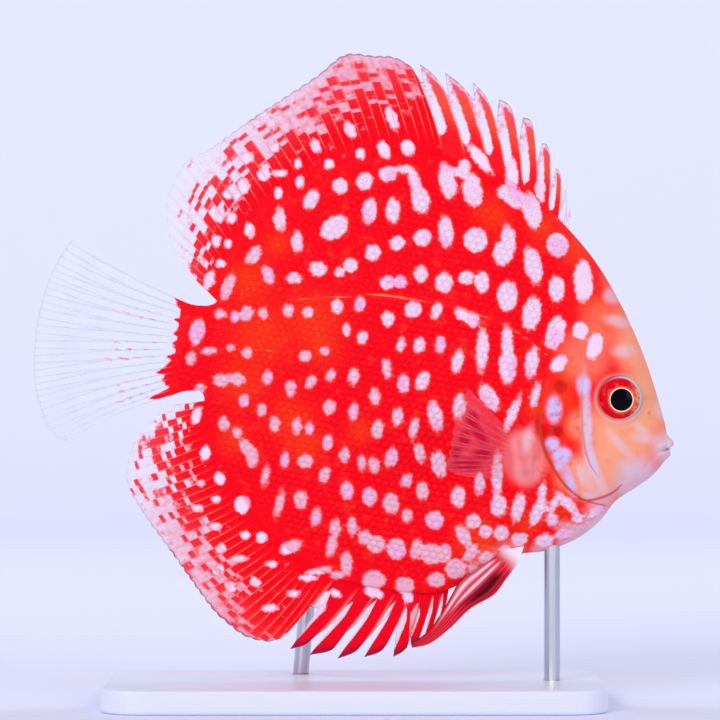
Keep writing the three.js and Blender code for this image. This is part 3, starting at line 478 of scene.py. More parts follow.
def skin_tones(x, z):
    """Colour of the skin between its spots, and colour of the spots, at points in side view."""
    tone = np.broadcast_to(PAINT["red"], x.shape + (3,)).copy()
    for ox, oz, reach in ORANGE:
        tone = blend(tone, PAINT["orange"], 0.75 * bump(np.hypot(x - ox, z - oz), reach))
    for wx, wz, reach, strength, name in WASHES:
        near = 1 - smooth(np.hypot(x - wx, z - wz), reach * 0.35, reach)
        tone = blend(tone, PAINT[name], strength * near)
    tone = blend(tone, PAINT["dark"], smooth(mark_field(x, z, DARK), -0.6, 0.5) * 0.8)
    r = np.hypot(x - EYE["x"], z - EYE["z"])
    tone = blend(tone, PAINT["crimson"], smooth(mark_field(x, z, PAD_STREAKS), -0.8, 0.6) * 0.45)
    tone = blend(tone, PAINT["lavender"], smooth(mark_field(x, z, STRIPE), -0.7, 0.4) * 0.85)
    tone = blend(tone, PAINT["lavender"], smooth(mark_field(x, z, LAVENDER), -0.75, 0.7) * 0.95)
    tone = blend(tone, PAINT["blush"], smooth(mark_field(x, z, SOFT), -1.0, 0.9) * 0.7)
    tone = blend(tone, PAINT["orbit"], 0.6 * bump(r - 5.9, 0.35))
    # Spots are warmer towards the tail and belly, and rosy in drifts
    spot = np.broadcast_to(PAINT["apricot"], tone.shape).copy()
    spot = blend(spot, PAINT["pale"], smooth(0.6 * x + 0.5 * (z - 85), -14, 14))
    wave = np.sin(x * 0.31 + 1.3) * np.sin(z * 0.27 + x * 0.11)
    spot = blend(spot, PAINT["rose"], smooth(wave, 0.25, 0.8) * 0.8)
    return tone, spot


def trace_lines(x, z):
    """Strength and colour of the thin lines on the skin: above 0 within a line's half width."""
    best = np.full(x.shape, -2.0)
    tint = np.broadcast_to(PAINT["trace"], x.shape + (3,)).copy()
    for points, wide, name in TRACES:
        smoothed = curve(points, np.linspace(0, 1, 41))
        d, _, along = off_line(x, z, smoothed)
        inside = 1 - d / (wide * (0.35 + 0.65 * np.sin(math.pi * np.clip(along, 0.06, 0.94))))
        tint = np.where((inside > best)[..., None], PAINT[name], tint)
        best = np.maximum(best, np.maximum(inside, -2.0))
    return best, tint


def skin_values(x, z):
    """All the values that the skin's material reads, at points in side view."""
    tone, spot = skin_tones(x, z)
    trace, tint = trace_lines(x, z)
    freckles = 0.6 * bump(np.hypot(x - 51.0, (z - 70.0) / 1.6), 7.0)
    pale = mark_field(x, z, ALL_MARKS)
    return dict(tone=tone, spot=spot, pale=pale, trace=trace, tint=tint, freckles=freckles)


# Meshes

def set_values(mesh, values):
    """Put named values or colours on a mesh's points."""
    for key, data in values.items():
        data = np.asarray(data, np.float32)
        if data.ndim == 2:
            rgba = np.column_stack([data, np.ones(len(data), np.float32)])
            mesh.attributes.new(key, "FLOAT_COLOR", "POINT").data.foreach_set("color", rgba.ravel())
        else:
            mesh.attributes.new(key, "FLOAT", "POINT").data.foreach_set("value", data)


def add_object(name, mesh):
    """Put a mesh in the scene as a smooth object."""
    mesh.shade_smooth()
    obj = bpy.data.objects.new(name, mesh)
    bpy.context.scene.collection.objects.link(obj)
    return obj


def closed_grid(columns, rows):
    """A flat grid with a second layer joined to it round its rim, and each point's column, row and layer."""
    work = bmesh.new()
    bmesh.ops.create_grid(work, x_segments=rows - 1, y_segments=columns - 1, size=1.0)
    bmesh.ops.extrude_face_region(work, geom=work.faces[:], use_keep_orig=True)
    flat = np.array([point.co[:2] for point in work.verts])
    row, column = np.rint((flat + 1) / 2 * (rows - 1, columns - 1)).astype(int).T
    return work, column, row, np.arange(len(flat)) // (columns * rows)


def shape_grid(name, work, points, values):
    """Give a grid's points their places in mm and their values, merge doubles and turn all faces out."""
    mesh = bpy.data.meshes.new(name)
    work.to_mesh(mesh)
    mesh.vertices.foreach_set("co", (points * MM).astype(np.float32).ravel())
    set_values(mesh, values)
    work.clear()
    work.from_mesh(mesh)
    bmesh.ops.remove_doubles(work, verts=work.verts, dist=1e-6)
    bmesh.ops.recalc_face_normals(work, faces=work.faces)
    work.to_mesh(mesh)
    work.free()
    return add_object(name, mesh)


def finish_piece(obj, material, nodes=()):
    """Give a piece its material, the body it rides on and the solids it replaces."""
    obj.data.materials.append(material)
    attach(obj, "root")
    if nodes:
        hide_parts(*nodes)


# Materials

def add(tree, kind, sockets=None, out=0, **settings):
    """Add a shader node with its settings, set or link its sockets, and give back one of its outputs."""
    node = tree.nodes.new("ShaderNode" + kind)
    for key, value in settings.items():
        setattr(node, key, value)
    for key, value in (sockets or {}).items():
        if isinstance(value, bpy.types.NodeSocket):
            tree.links.new(value, node.inputs[key])
        else:
            node.inputs[key].default_value = linear(value) if isinstance(value, str) else value
    return node.outputs[out]


def new_material(name, **surface):
    """A material, its tree and its surface shader, with single values set on the shader."""
    material = bpy.data.materials.new(name)
    material.use_nodes = True
    shader = material.node_tree.nodes["Principled BSDF"]
    for key, value in surface.items():
        value = linear(value) if isinstance(value, str) else value
        shader.inputs[key.replace("_", " ")].default_value = value
    return material, material.node_tree, shader


def paint_over(tree, colour, *layers):
    """Lay colours over a colour, each as (field, low, high, share below low, share above high, colour)."""
    for field, low, high, start, end, top in layers:
        step = {0: field, 1: low, 2: high, 3: start, 4: end}
        share = add(tree, "MapRange", step, interpolation_type="SMOOTHSTEP")
        colour = add(tree, "Mix", {0: share, 6: colour, 7: top}, 2, data_type="RGBA")
    return colour


def skin_material():
    """Wet fish skin: thin clear slime over tiny scales, which gives a broad soft sheen and no sharp glint."""
    material, tree, shader = new_material("discus_skin", Roughness=0.5, Specular_IOR_Level=0.08)
    place = add(tree, "TexCoord", out="Object")
    grain = {name: add(tree, "TexNoise", {"Vector": place, "Scale": 1 / (size * MM), "Detail": detail})
             for name, (size, detail) in SKIN_GRAINS.items()}
    value = {key: add(tree, "Attribute", out="Fac", attribute_name=key)
             for key in ("pale", "trace", "freckles")}
    tint = {key: add(tree, "Attribute", out="Color", attribute_name=key) for key in ("tone", "spot", "tint")}
    # Crinkled edges of the spots come from grain of the size of the scales
    crinkled = add(tree, "Math", {0: grain["scale"], 1: 1.5, 2: value["pale"]}, operation="MULTIPLY_ADD")
    # Speckle of pigment cells inside the spots
    spot = paint_over(tree, tint["spot"], (grain["cell"], 0.52, 0.72, 0.0, 0.35, "#d99fce"))
    # A warm halo round each spot, faint blotches, freckles on the gill cover, then spots and thin lines
    colour = paint_over(
        tree, tint["tone"],
        (value["pale"], -0.8, 0.1, 0.0, 0.35, "#ff4a28"),
        (grain["blotch"], 0.54, 0.74, 0.0, 0.2, "#f85230"),
        (grain["freckle"], 0.46, 0.68, 0.0, value["freckles"], "#c8441c"),
        (crinkled, 0.37, 1.13, 0.0, 1.0, spot),
        (value["trace"], -0.1, 0.7, 0.0, 0.8, tint["tint"]),
    )
    tree.links.new(colour, shader.inputs["Base Color"])
    pores = add(tree, "Bump", {"Height": grain["pore"], "Strength": 0.25, "Distance": 0.12 * MM})
    tree.links.new(pores, shader.inputs["Normal"])
    return material


def fin_material():
    """Fin membrane: paper-thin clear skin, which looks solid where pigment lies and see-through past it."""
    material, tree, shader = new_material("discus_fin", Roughness=0.5, Specular_IOR_Level=0.05)
    place = add(tree, "TexCoord", out="Object")
    grain = {name: add(tree, "TexNoise", {"Vector": place, "Scale": 1 / (size * MM), "Detail": detail})
             for name, (size, detail) in FIN_GRAINS.items()}
    value = {key: add(tree, "Attribute", out="Fac", attribute_name=key)
             for key in ("fade", "line", "edge", "pale", "blush", "glass", "web")}
    tint = {key: add(tree, "Attribute", out="Color", attribute_name=key) for key in ("tone", "veil", "ray")}
    # Blocks of pigment end in a crumbled edge, and pale marks in a crinkled one
    crumbled = add(tree, "Math", {0: grain["crumb"], 1: 0.9, 2: value["fade"]}, operation="MULTIPLY_ADD")
    crinkled = add(tree, "Math", {0: grain["crinkle"], 1: 1.3, 2: value["pale"]}, operation="MULTIPLY_ADD")
    steps = (
        (crumbled, 0.73, 1.17, 0.0, 1.0),
        (crinkled, 0.3, 1.0, 0.0, 1.0),
        (value["line"], 0.8, 0.98, 0.0, value["web"]),
        (grain["dust"], 0.36, 0.7, 0.15, 1.0),
    )
    clear, mark, ray, specks = (
        add(tree, "MapRange", dict(enumerate(step)), interpolation_type="SMOOTHSTEP") for step in steps)
    # Loose grains of red pigment in the clear part
    dust = add(tree, "Math", {0: value["blush"], 1: specks}, operation="MULTIPLY")
    loose = add(tree, "Math", {0: dust, 1: clear}, operation="MULTIPLY")
    colour = tint["tone"]
    for share, top in ((clear, tint["veil"]), (mark, "#f1d3ea"), (ray, tint["ray"]), (loose, "#f85068"),
                       (value["edge"], "#8a4f80")):
        colour = add(tree, "Mix", {0: share, 6: colour, 7: top}, 2, data_type="RGBA")
    tree.links.new(colour, shader.inputs["Base Color"])
    # See-through where it is clear, but not at the rays, the edge, the dust and the marks
    glass = add(tree, "Math", {0: clear, 1: value["glass"]}, operation="MULTIPLY")
    body = add(tree, "Math", {0: 1.0, 1: glass}, operation="SUBTRACT")
    for share, strength in ((ray, 0.7), (value["edge"], 0.8), (dust, 0.9), (mark, 0.85)):
        part = add(tree, "Math", {0: share, 1: strength}, operation="MULTIPLY")
        body = add(tree, "Math", {0: body, 1: part}, operation="MAXIMUM")
    tree.links.new(body, shader.inputs["Alpha"])
    return material


def eye_material(side):
    """Eye: a wet clear cornea over a pigmented iris, which gives deep colours under one small sharp glint."""
    material, tree, shader = new_material(
        f"discus_eye_{side}", Roughness=0.3, Specular_IOR_Level=0.0,
        Coat_Weight=0.25, Coat_Roughness=0.04, Coat_IOR=1.33)
    place = add(tree, "TexCoord", out="Object")
    grain = {name: add(tree, "TexNoise", {"Vector": place, "Scale": 1 / (size * MM), "Detail": detail})
             for name, (size, detail) in IRIS_GRAINS.items()}
    # Distances in side view, in mm
    flat = add(tree, "VectorMath", {0: place, 1: (1 / MM, 0.0, 1 / MM)}, operation="MULTIPLY")
    from_middle, from_pupil = (
        add(tree, "VectorMath", {0: flat, 1: (x, 0.0, z)}, "Value", operation="DISTANCE")
        for x, z in ((EYE["x"], EYE["z"]), (EYE["x"] + 0.45, EYE["z"] - 0.3)))
    forward = add(tree, "SeparateXYZ", {0: flat})
    glint = add(tree, "MapRange", {0: grain["glint"], 1: 0.4, 2: 0.6, 3: 0.21, 4: 0.7},
                interpolation_type="SMOOTHSTEP")
    # Orange flecks and dark veins, yellowish light on the snout side, the inner glow and the outer rim of the
    # iris, the thin gold ring, and the blue-black pupil
    colour = paint_over(
        tree, "#dd0020",
        (grain["fleck"], 0.52, 0.74, 0.0, 0.45, "#f2643a"),
        (grain["vein"], 0.6, 0.72, 0.0, 0.6, "#7a0818"),
        (forward, EYE["x"] + 2.2, EYE["x"] + 4.6, 0.0, glint, "#e9b27c"),
        (from_pupil, 3.0, 3.6, 0.6, 0.0, "#f5913f"),
        (from_middle, 4.9, 5.25, 0.0, 1.0, "#c9b9c4"),
        (from_pupil, 2.92, 3.05, 1.0, 0.0, "#f6e6d0"),
        (from_pupil, EYE["pupil"] - 0.04, EYE["pupil"] + 0.06, 1.0, 0.0, "#05020e"),
    )
    tree.links.new(colour, shader.inputs["Base Color"])
    return material


# The skin

def build_skin():
    """One skin over head, trunk and tail stalk, which ends in two lips and a slit."""
    u = np.linspace(0, 1, SKIN_ALONG)
    # Closer together over the head
    u = u + 0.13 * np.sin(np.pi * u)
    s = np.linspace(0, 1, SKIN_SIDE)
    v = 0.5 * (1 - np.cos(np.pi * s)) * 0.55 + s * 0.45
    uu, vv = np.meshgrid(u, v, indexing="ij")
    top, low = back(uu), belly(uu)
    x, z = np.moveaxis(top + (low - top) * vv[..., None], -1, 0)
    rim = smooth(vv, 0.0, 0.02) * (1 - smooth(vv, 0.98, 1.0))
    y = np.maximum(half_width(uu, vv) + relief(x, z) * rim, 0.25)
    # The front closes towards the mouth in rings that swell into lips and turn in at the slit
    front_x, front_y, front_z = x[-1], y[-1], z[-1]
    t = np.arange(1, MOUTH_RINGS + 1)[:, None] / MOUTH_RINGS
    swell = 1 - (front_y / front_y.max()) ** 2 * 0.75
    lips = np.sin(math.pi * t ** 1.25) * 1.25
    inward = -1.3 * smooth(t, 0.82, 1.0)
    x = np.vstack([x, front_x + swell * (0.9 * t) + lips * (0.35 + 0.65 * swell) + inward])
    y = np.vstack([y, front_y * (1 - 0.12 * t)])
    z = np.vstack([z, front_z + (MOUTH["z"] - front_z) * t])
    work, column, row, layer = closed_grid(*x.shape)
    # The slit between the lips stays open
    last = len(x) - 1
    work.verts.index_update()
    slit = [face for face in work.faces if all(column[point.index] == last for point in face.verts)]
    bmesh.ops.delete(work, geom=slit, context="FACES")
    x, y, z = (grid[column, row] for grid in (x, y, z))
    points = np.stack([x, y * (2 * layer - 1), z], -1)
    return shape_grid("fish_skin", work, points, skin_values(x, z))


def scale_plate():
    """One plate's faces, and each point's step round the rim, if it is on top, and if it is the middle."""
    work = bmesh.new()
    bmesh.ops.create_circle(work, cap_ends=True, segments=SCALE_CORNERS, radius=1.0)
    raised = bmesh.ops.extrude_face_region(work, geom=work.faces[:], use_keep_orig=True)["geom"]
    moved = [part for part in raised if isinstance(part, bmesh.types.BMVert)]
    bmesh.ops.translate(work, verts=moved, vec=(0, 0, 1))
    bmesh.ops.poke(work, faces=[part for part in raised if isinstance(part, bmesh.types.BMFace)])
    work.verts.index_update()
    faces = [[point.index for point in face.verts] for face in work.faces]
    x, y, z = np.array([point.co for point in work.verts]).T
    work.free()
    step = np.rint(np.arctan2(-x, y) * SCALE_CORNERS / (2 * math.pi)).astype(int) % SCALE_CORNERS
    return faces, step, z > 0.5, np.hypot(x, y) < 0.5


def build_scales(side, name):
    """Small plates in staggered rows along the flank, each with its rear edge a little lifted."""
    ahead = np.array([math.cos(SCALE_SLOPE), math.sin(SCALE_SLOPE)])
    up = np.array([-ahead[1], ahead[0]])
    row, column = np.meshgrid(np.arange(-48, 49), np.arange(-40, 60), indexing="ij")
    offset = (column + 0.5 * (row % 2)) * SCALE_ALONG
    centres = SCALE_MIDDLE + ahead * offset[..., None] + up * (row * SCALE_UP)[..., None]
    centres = centres.reshape(-1, 2) + rng.normal(0, 0.06, (centres.size // 2, 2))
    # None on the head, the fin's pad, the lateral line and the thin edges
    x, z = centres.T
    u, v = place_of(x, z)
    off_gill, behind, _ = off_line(x, z, GILL)
    off_lateral = off_line(x, z, curve(LATERAL_LINE, np.linspace(0, 1, 41)))[0]
    on_pad = np.hypot((x - 41.5) / 5.0, (z - 61.5) / 8.0) < 1
    keep = (off_lateral > 0.75) & ~on_pad & (v > 0.022) & (v < 0.978) & (u > 0.02) & (u < 0.93)
    keep &= off_gill * behind > 1.2
    centres, u, v = centres[keep], u[keep], v[keep]
    # Outline: towards the tail and across, with a blunter front
    angle = np.arange(SCALE_CORNERS) * 2 * math.pi / SCALE_CORNERS
    tail = np.cos(angle) * np.where(np.cos(angle) > 0, 1.2, 1.0)
    across = np.sin(angle) * 0.95
    size = 1 + rng.normal(0, 0.04, (len(centres), 1))
    size *= np.clip(0.55 + 4.5 * np.minimum(v, 1 - v), 0.6, 1)[:, None]
    rim = up * (across * size)[..., None] - ahead * (tail * size)[..., None]
    ring = centres[:, None, :] + rim
    rim_y, middle_y = flank(ring[..., 0], ring[..., 1]), flank(centres[:, 0], centres[:, 1])
    lift = 0.025 + 0.03 * np.maximum(tail, -0.8)
    faces, step, on_top, is_middle = scale_plate()
    place = centres[:, None, :] + rim[:, step] * np.where(on_top, 0.97, 1.0)[:, None]
    height = rim_y[:, step] + np.where(on_top, lift[step], lift[step] - 0.3)
    place[:, is_middle] = centres[:, None, :]
    height[:, is_middle] = middle_y[:, None] + 0.05
    points = np.stack([place[..., 0], side * height, place[..., 1]], -1).reshape(-1, 3)
    mesh = bpy.data.meshes.new(name)
    starts = range(0, len(points), len(step))
    mesh.from_pydata(points * MM, [], [[first + k for k in face] for first in starts for face in faces])
    set_values(mesh, skin_values(points[:, 0], points[:, 2]))
    # Each plate's own small patch of the map, around its place on the flank
    patch = np.stack([-tail, across], -1)[step] * np.where(on_top, 0.9, 1.0)[:, None] * 0.0015
    patch[is_middle] = 0
    flat = np.stack([0.02 + 0.96 * u, (0.02 if side < 0 else 0.52) + 0.46 * v], -1)
    uv = (flat[:, None, :] + patch).reshape(-1, 2)
    corner = np.zeros(len(mesh.loops), np.int32)
    mesh.loops.foreach_get("vertex_index", corner)
    mesh.uv_layers.new(name="OFBake").data.foreach_set("uv", uv[corner].astype(np.float32).ravel())
    work = bmesh.new()
    work.from_mesh(mesh)
    bmesh.ops.recalc_face_normals(work, faces=work.faces)
    work.to_mesh(mesh)
    work.free()
    return add_object(name, mesh)


# Fins

def edge_points(base_x, on_back, sunk):
    """Points on the body's edge at given x, a little inside it."""
    line = back if on_back else belly
    low, high = np.zeros_like(base_x), np.ones_like(base_x)
    for _ in range(30):
        middle = (low + high) / 2
        below = line(middle)[:, 0] < base_x
        low, high = np.where(below, middle, low), np.where(below, high, middle)
    point, ahead = line(low), line(np.clip(low + 0.002, 0, 1)) - line(np.clip(low - 0.002, 0, 1))
    ahead /= np.linalg.norm(ahead, axis=1)[:, None]
    out = np.stack([-ahead[:, 1], ahead[:, 0]], -1) * (1 if on_back else -1)
    return point - out * sunk


def ray_line(phase, t, fork):
    """1 along a ray, 0 half way between rays, where each ray splits in two outwards."""
    near = np.abs(phase - np.round(phase)) * np.ones_like(t)
    return 1 - 2 * np.abs(near - fork * smooth(t, 0.3, 1.0))


def ray_ridge(line):
    """How far the membrane swells into a ray."""
    return smooth(line, 0.45, 1.0)


def blocks(phase, along, seed):
    """Random blocks from 0 to 1 in each strip between rays, with soft steps between; along counts blocks."""
    draw = np.random.default_rng(seed)
    strips = int(phase.max()) + 2
    table, start = draw.random((strips, int(along.max()) + 4)), draw.random(strips)
    strip = np.clip(np.floor(phase), 0, strips - 1).astype(int) * np.ones_like(along, int)
    place = along + start[strip]
    cell = np.floor(place).astype(int)
    step = smooth(place - cell, 0.6, 1.0)
    return table[strip, cell] * (1 - step) + table[strip, cell + 1] * step


def even_steps(roots, tips, count):
    """Steps along a fin at which its rays stand evenly half way out."""
    fine = np.linspace(0, 1, 400)
    middle = (curve(roots, fine) + curve(tips, fine)) / 2
    length = np.concatenate([[0], np.cumsum(np.hypot(*np.diff(middle, axis=0).T))])
    return np.interp(np.linspace(0, length[-1], count), length, fine)


def tints(shape, **names):
    """Whole grids of one colour each, from hex codes."""
    return {key: np.broadcast_to(rgb(code), shape + (3,)).copy() for key, code in names.items()}


def sheet(name, x, y, z, half, values):
    """A closed thin sheet from grids of its middle and half thickness; columns across, rows outwards."""
    work, column, row, layer = closed_grid(*x.shape)
    points = np.stack([x, y, z], -1)[column, row]
    points[:, 1] += half[column, row] * (2 * layer - 1)
    return shape_grid(name, work, points, {key: value[column, row] for key, value in values.items()})


def row_steps(rows):
    """Steps from 0 to 1, closer together towards the fin's edge."""
    return 1 - (1 - np.linspace(0, 1, rows)) ** 1.35


def fin_grid(base, ends, rows, bow):
    """x and z of a fin's middle from its root points and edge points, the rays bent by bow."""
    t = row_steps(rows)[None, :]
    dx, dz = ends[:, 0:1] - base[:, 0:1], ends[:, 1:2] - base[:, 1:2]
    swell = bow * np.sin(math.pi * t)
    x = base[:, 0:1] + dx * t + dz * swell
    z = base[:, 1:2] + dz * t - dx * swell
    return x, z, np.broadcast_to(t, x.shape)


def thickness(t, rays, root=1.2, ray=0.55, membrane=0.16):
    """Half thickness in mm: a fleshy root, then rays that taper over a thin membrane, and a thin edge."""
    fleshy = membrane + (root - membrane) * np.clip(1 - t / 0.25, 0, 1) ** 2
    rayed = membrane + rays * (ray - membrane) * (1 - 0.6 * t)
    return np.maximum(fleshy, rayed) * (1 - 0.5 * smooth(t, 0.97, 1.0))


def build_soft_fin(name, pairs, rays, on_back, start, end, seed):
    """A soft fin: red blocks between light rays, thinning towards a clear margin."""
    per = 8
    columns = (rays - 1) * per + 1
    roots, edge = [root for root, _ in pairs], [end for _, end in pairs]
    coarse = np.linspace(0, 1, 40)
    s = even_steps(edge_points(curve(roots, coarse), on_back, ROOT_SUNK), curve(edge, coarse), columns)
    phase = (np.linspace(0, 1, columns) * (rays - 1))[:, None]
    base = edge_points(curve(roots, s), on_back, ROOT_SUNK)
    ends = curve(edge, s)
    x, z, t = fin_grid(base, ends, 112, 0.02 * (1 if on_back else -1))
    # Ray tips stand a little past the membrane at the edge
    notch = 0.35 * (np.abs(phase - np.round(phase)) * 2) ** 2 * smooth(t, 0.95, 1.0)
    reach = np.hypot(ends[:, 0:1] - base[:, 0:1], ends[:, 1:2] - base[:, 1:2])
    x = x - notch * (ends[:, 0:1] - base[:, 0:1]) / reach
    z = z - notch * (ends[:, 1:2] - base[:, 1:2]) / reach
    line = ray_line(phase, t, 0.07)
    place = s[:, None] * np.ones_like(t)
    opens, closes = curve(start, s)[:, None], curve(end, s)[:, None]
    share = np.clip((t - opens) / (closes - opens), 0, 1)
    along = t * reach
    fade = smooth(share - 0.08 - 0.86 * blocks(phase, along / BLOCK, seed), -0.34, 0.34)
    streaks = 0.35 + 1.1 * blocks(phase * 3, along / (3 * BLOCK), seed + 2)
    front = 1 - smooth(place, 0.35, 0.75)
    tone = tints(x.shape, tone="#fb0018", veil="#f0e6fa", ray="#ff8468")
    tone["veil"] = blend(tone["veil"], rgb("#f4bcd2"), front * 0.85)
    inner = 1 - smooth(share, 0.55, 0.95)
    tone["veil"] = blend(tone["veil"], rgb("#f4869e"), inner * (0.08 + 0.37 * front))
    tone["ray"] = blend(tone["ray"], rgb("#dba8c4"), smooth(t, closes - 0.15, closes + 0.1))
    for ox, oz, wide in ORANGE:
        tone["tone"] = blend(tone["tone"], PAINT["orange"], 0.7 * bump(np.hypot(x - ox, z - oz), wide))
    tone["tone"] = blend(tone["tone"], rgb("#f24a5c"), smooth(t, opens, closes) * 0.7)
    thinning = smooth(share, 0.05, 0.4) * (1 - 0.8 * smooth(share, 0.7, 1.0) * (1 - front))
    values = dict(
        fade=fade, line=line, pale=mark_field(x, z, ALL_MARKS),
        web=smooth(t, 0.12, 0.45) * (0.75 - 0.3 * smooth(t, closes, closes + 0.1)),
        edge=smooth(t, 0.975, 0.992) * (0.25 + 0.55 * front),
        blush=(0.35 + 0.45 * front) * streaks * thinning,
        glass=0.55 + 0.3 * (1 - front) - 0.2 * inner * front, **tone)
    return sheet(name, x, np.zeros_like(x), z, thickness(t, ray_ridge(line)), values)


def build_spiny_fin(name, lappets, closing, on_back):
    """A spiny fin: a row of lappets, each held by a spine along its front edge."""
    per = 8
    # Root, end, share of the way across its lappet and number of its lappet, for each column
    base_x, ends, across, number = [], [], [], []
    for i, (root, shoulder, crest, tip, notch) in enumerate(lappets):
        after = lappets[i + 1][0] if i + 1 < len(lappets) else closing[0]
        before = lappets[i - 1][4] if i else shoulder
        front = curve([before, shoulder, crest, tip], np.linspace(1 / 3, 1, 2 * per, endpoint=False))
        tip, notch = np.array(tip), np.array(notch)
        rear = tip + (notch - tip) * np.linspace(0, 1, per, endpoint=False)[:, None]
        last = np.array(lappets[i + 1][1] if i + 1 < len(lappets) else closing[1])
        steep = notch + (last - notch) * np.linspace(0, 1, 4, endpoint=False)[:, None]
        for points, low, high in ((front, 0.0, 0.5), (rear, 0.5, 0.8), (steep, 0.8, 1.0)):
            share = low + (high - low) * np.arange(len(points)) / len(points)
            base_x += list(root + (after - root) * share)
            ends += [tuple(p) for p in points]
            across += list(share)
            number += [i] * len(points)
    base_x.append(closing[0])
    ends.append(closing[1])
    across.append(1.0)
    number.append(len(lappets) - 1)
    base = edge_points(np.array(base_x), on_back, ROOT_SUNK)
    ends, across = np.array(ends), np.array(across)[:, None]
    x, z, t = fin_grid(base, ends, 60, 0.03 if on_back else -0.02)
    across = across * np.ones_like(x)
    order = np.array(number)[:, None] / len(lappets) * np.ones_like(x)
    spine = bump(np.minimum(across, 1 - across), 0.09)
    if on_back:
        low = 0.04 + 0.24 * order
        fade = smooth(across, 0.32, 0.62) * (1 - smooth(across, 0.96, 1.0)) * smooth(t, low, low + 0.14)
        fade = np.maximum(fade, smooth(t, 0.84, 0.97) * 0.66)
        fade = np.maximum(fade, (1 - smooth(across, 0.05, 0.16)) * smooth(t, 0.35, 0.6) * 0.56)
        fade = np.maximum(fade, (1 - smooth(order, 0.1, 0.28)) * 0.8)
        tone = tints(x.shape, tone="#fb1420", veil="#ece0f4", ray="#f7a08c")
        tone["tone"] = blend(tone["tone"], rgb("#f4583c"), smooth(t, 0.3, 0.7) * 0.7)
        tone["tone"] = blend(tone["tone"], rgb("#f0506a"), smooth(t, 0.75, 0.95))
        blush, glass = smooth(t, 0.62, 0.8) * 0.8, 0.7
    else:
        fade = smooth(across, 0.52, 0.6) * (1 - smooth(across, 0.9, 1.0)) * smooth(t, 0.42, 0.55) * 0.9
        tone = tints(x.shape, tone="#ee001e", veil="#f2dcea", ray="#f08a80")
        tone["tone"] = blend(tone["tone"], rgb("#6e1030"), smooth(t, 0.82, 1.0) * 0.75)
        blush, glass = smooth(t, 0.8, 1.0) * 0.5, 0.5
    values = dict(
        fade=fade, line=1 - 2 * np.minimum(across, 1 - across), pale=mark_field(x, z, ALL_MARKS),
        web=smooth(t, 0.1, 0.4) * 0.6, edge=smooth(t, 0.975, 0.99) * 0.7,
        blush=blush, glass=glass + 0 * x, **tone)
    return sheet(name, x, np.zeros_like(x), z, thickness(t, spine), values)


def build_caudal():
    """The nearly clear tail fin, with fine lavender-grey rays and a ragged red root."""
    per = 10
    s = np.linspace(0, 1, (CAUDAL_RAYS - 1) * per + 1)
    phase = (s * (CAUDAL_RAYS - 1))[:, None]
    top, low = back(np.array([0.02]))[0], belly(np.array([0.02]))[0]
    base = top + (low - top) * s[:, None]
    ends = curve(CAUDAL_TIPS, s)
    t = row_steps(72)[None, :]
    bow = 0.04 * np.sin(math.pi * t) * (1 - 2 * s[:, None])
    x = base[:, 0:1] + (ends[:, 0:1] - base[:, 0:1]) * t
    z = base[:, 1:2] + (ends[:, 1:2] - base[:, 1:2]) * t - bow * (base[:, 0:1] - ends[:, 0:1])
    t = np.broadcast_to(t, x.shape)
    line = ray_line(phase, t, 0.25)
    place = s[:, None] * np.ones_like(t)
    # Red runs furthest out along the upper edge and near the lower corner
    reach = 0.045 + sum(far * bump(place - at, wide) for far, at, wide in CAUDAL_RED)
    ragged = 0.02 * np.sin(phase * 3.1 + 1.0) + 0.012 * np.sin(phase * 5.3)
    fade = smooth(t - reach + ragged, -0.03, 0.05)
    # Short red dashes along a few of the rays
    dash = (ray_ridge(line) > 0.2) * (np.sin(t * 70 + phase * 9.0) > 0.1)
    dash = dash * smooth(t, 0.12, 0.2) * (1 - smooth(t, 0.35, 0.62))
    rows = np.maximum.reduce([bump(place - c, 0.03) for c in (0.22, 0.47, 0.55, 0.78, 0.9)])
    tone = tints(x.shape, tone="#fb0018", veil="#e4e8fd", ray="#a3a2c4")
    values = dict(
        fade=fade, line=line, pale=-9 + 0 * x,
        web=smooth(t, 0.03, 0.16) * (0.8 - 0.25 * t), edge=smooth(t, 0.982, 0.995) * 0.3,
        blush=np.clip(dash * rows * 2.5, 0, 1), glass=0.85 + 0 * x, **tone)
    return sheet("tail_fin", x, np.zeros_like(x), z, thickness(t, ray_ridge(line), root=1.5), values)


def build_paired(name, side, x, z, t, line, out, values):
    """A fin from side-view grids that starts on the flank and stands out by out."""
    half = np.minimum(thickness(t, ray_ridge(line), root=0.65, ray=0.4), 0.65)
    _, v = place_of(x, z)
    inside = (v > 0) & (v < 1)
    skin = np.where(inside, flank(x, z), 0.0)
    off_root = smooth(t, 0.0, 0.1)
    resting = np.where(inside, skin + half * off_root - 0.3 * (1 - off_root), 0.0)
    y = np.maximum(resting, skin[:, 0:1] - 0.3 + out * t)
    return sheet(name, x, side * y, z, half, values)


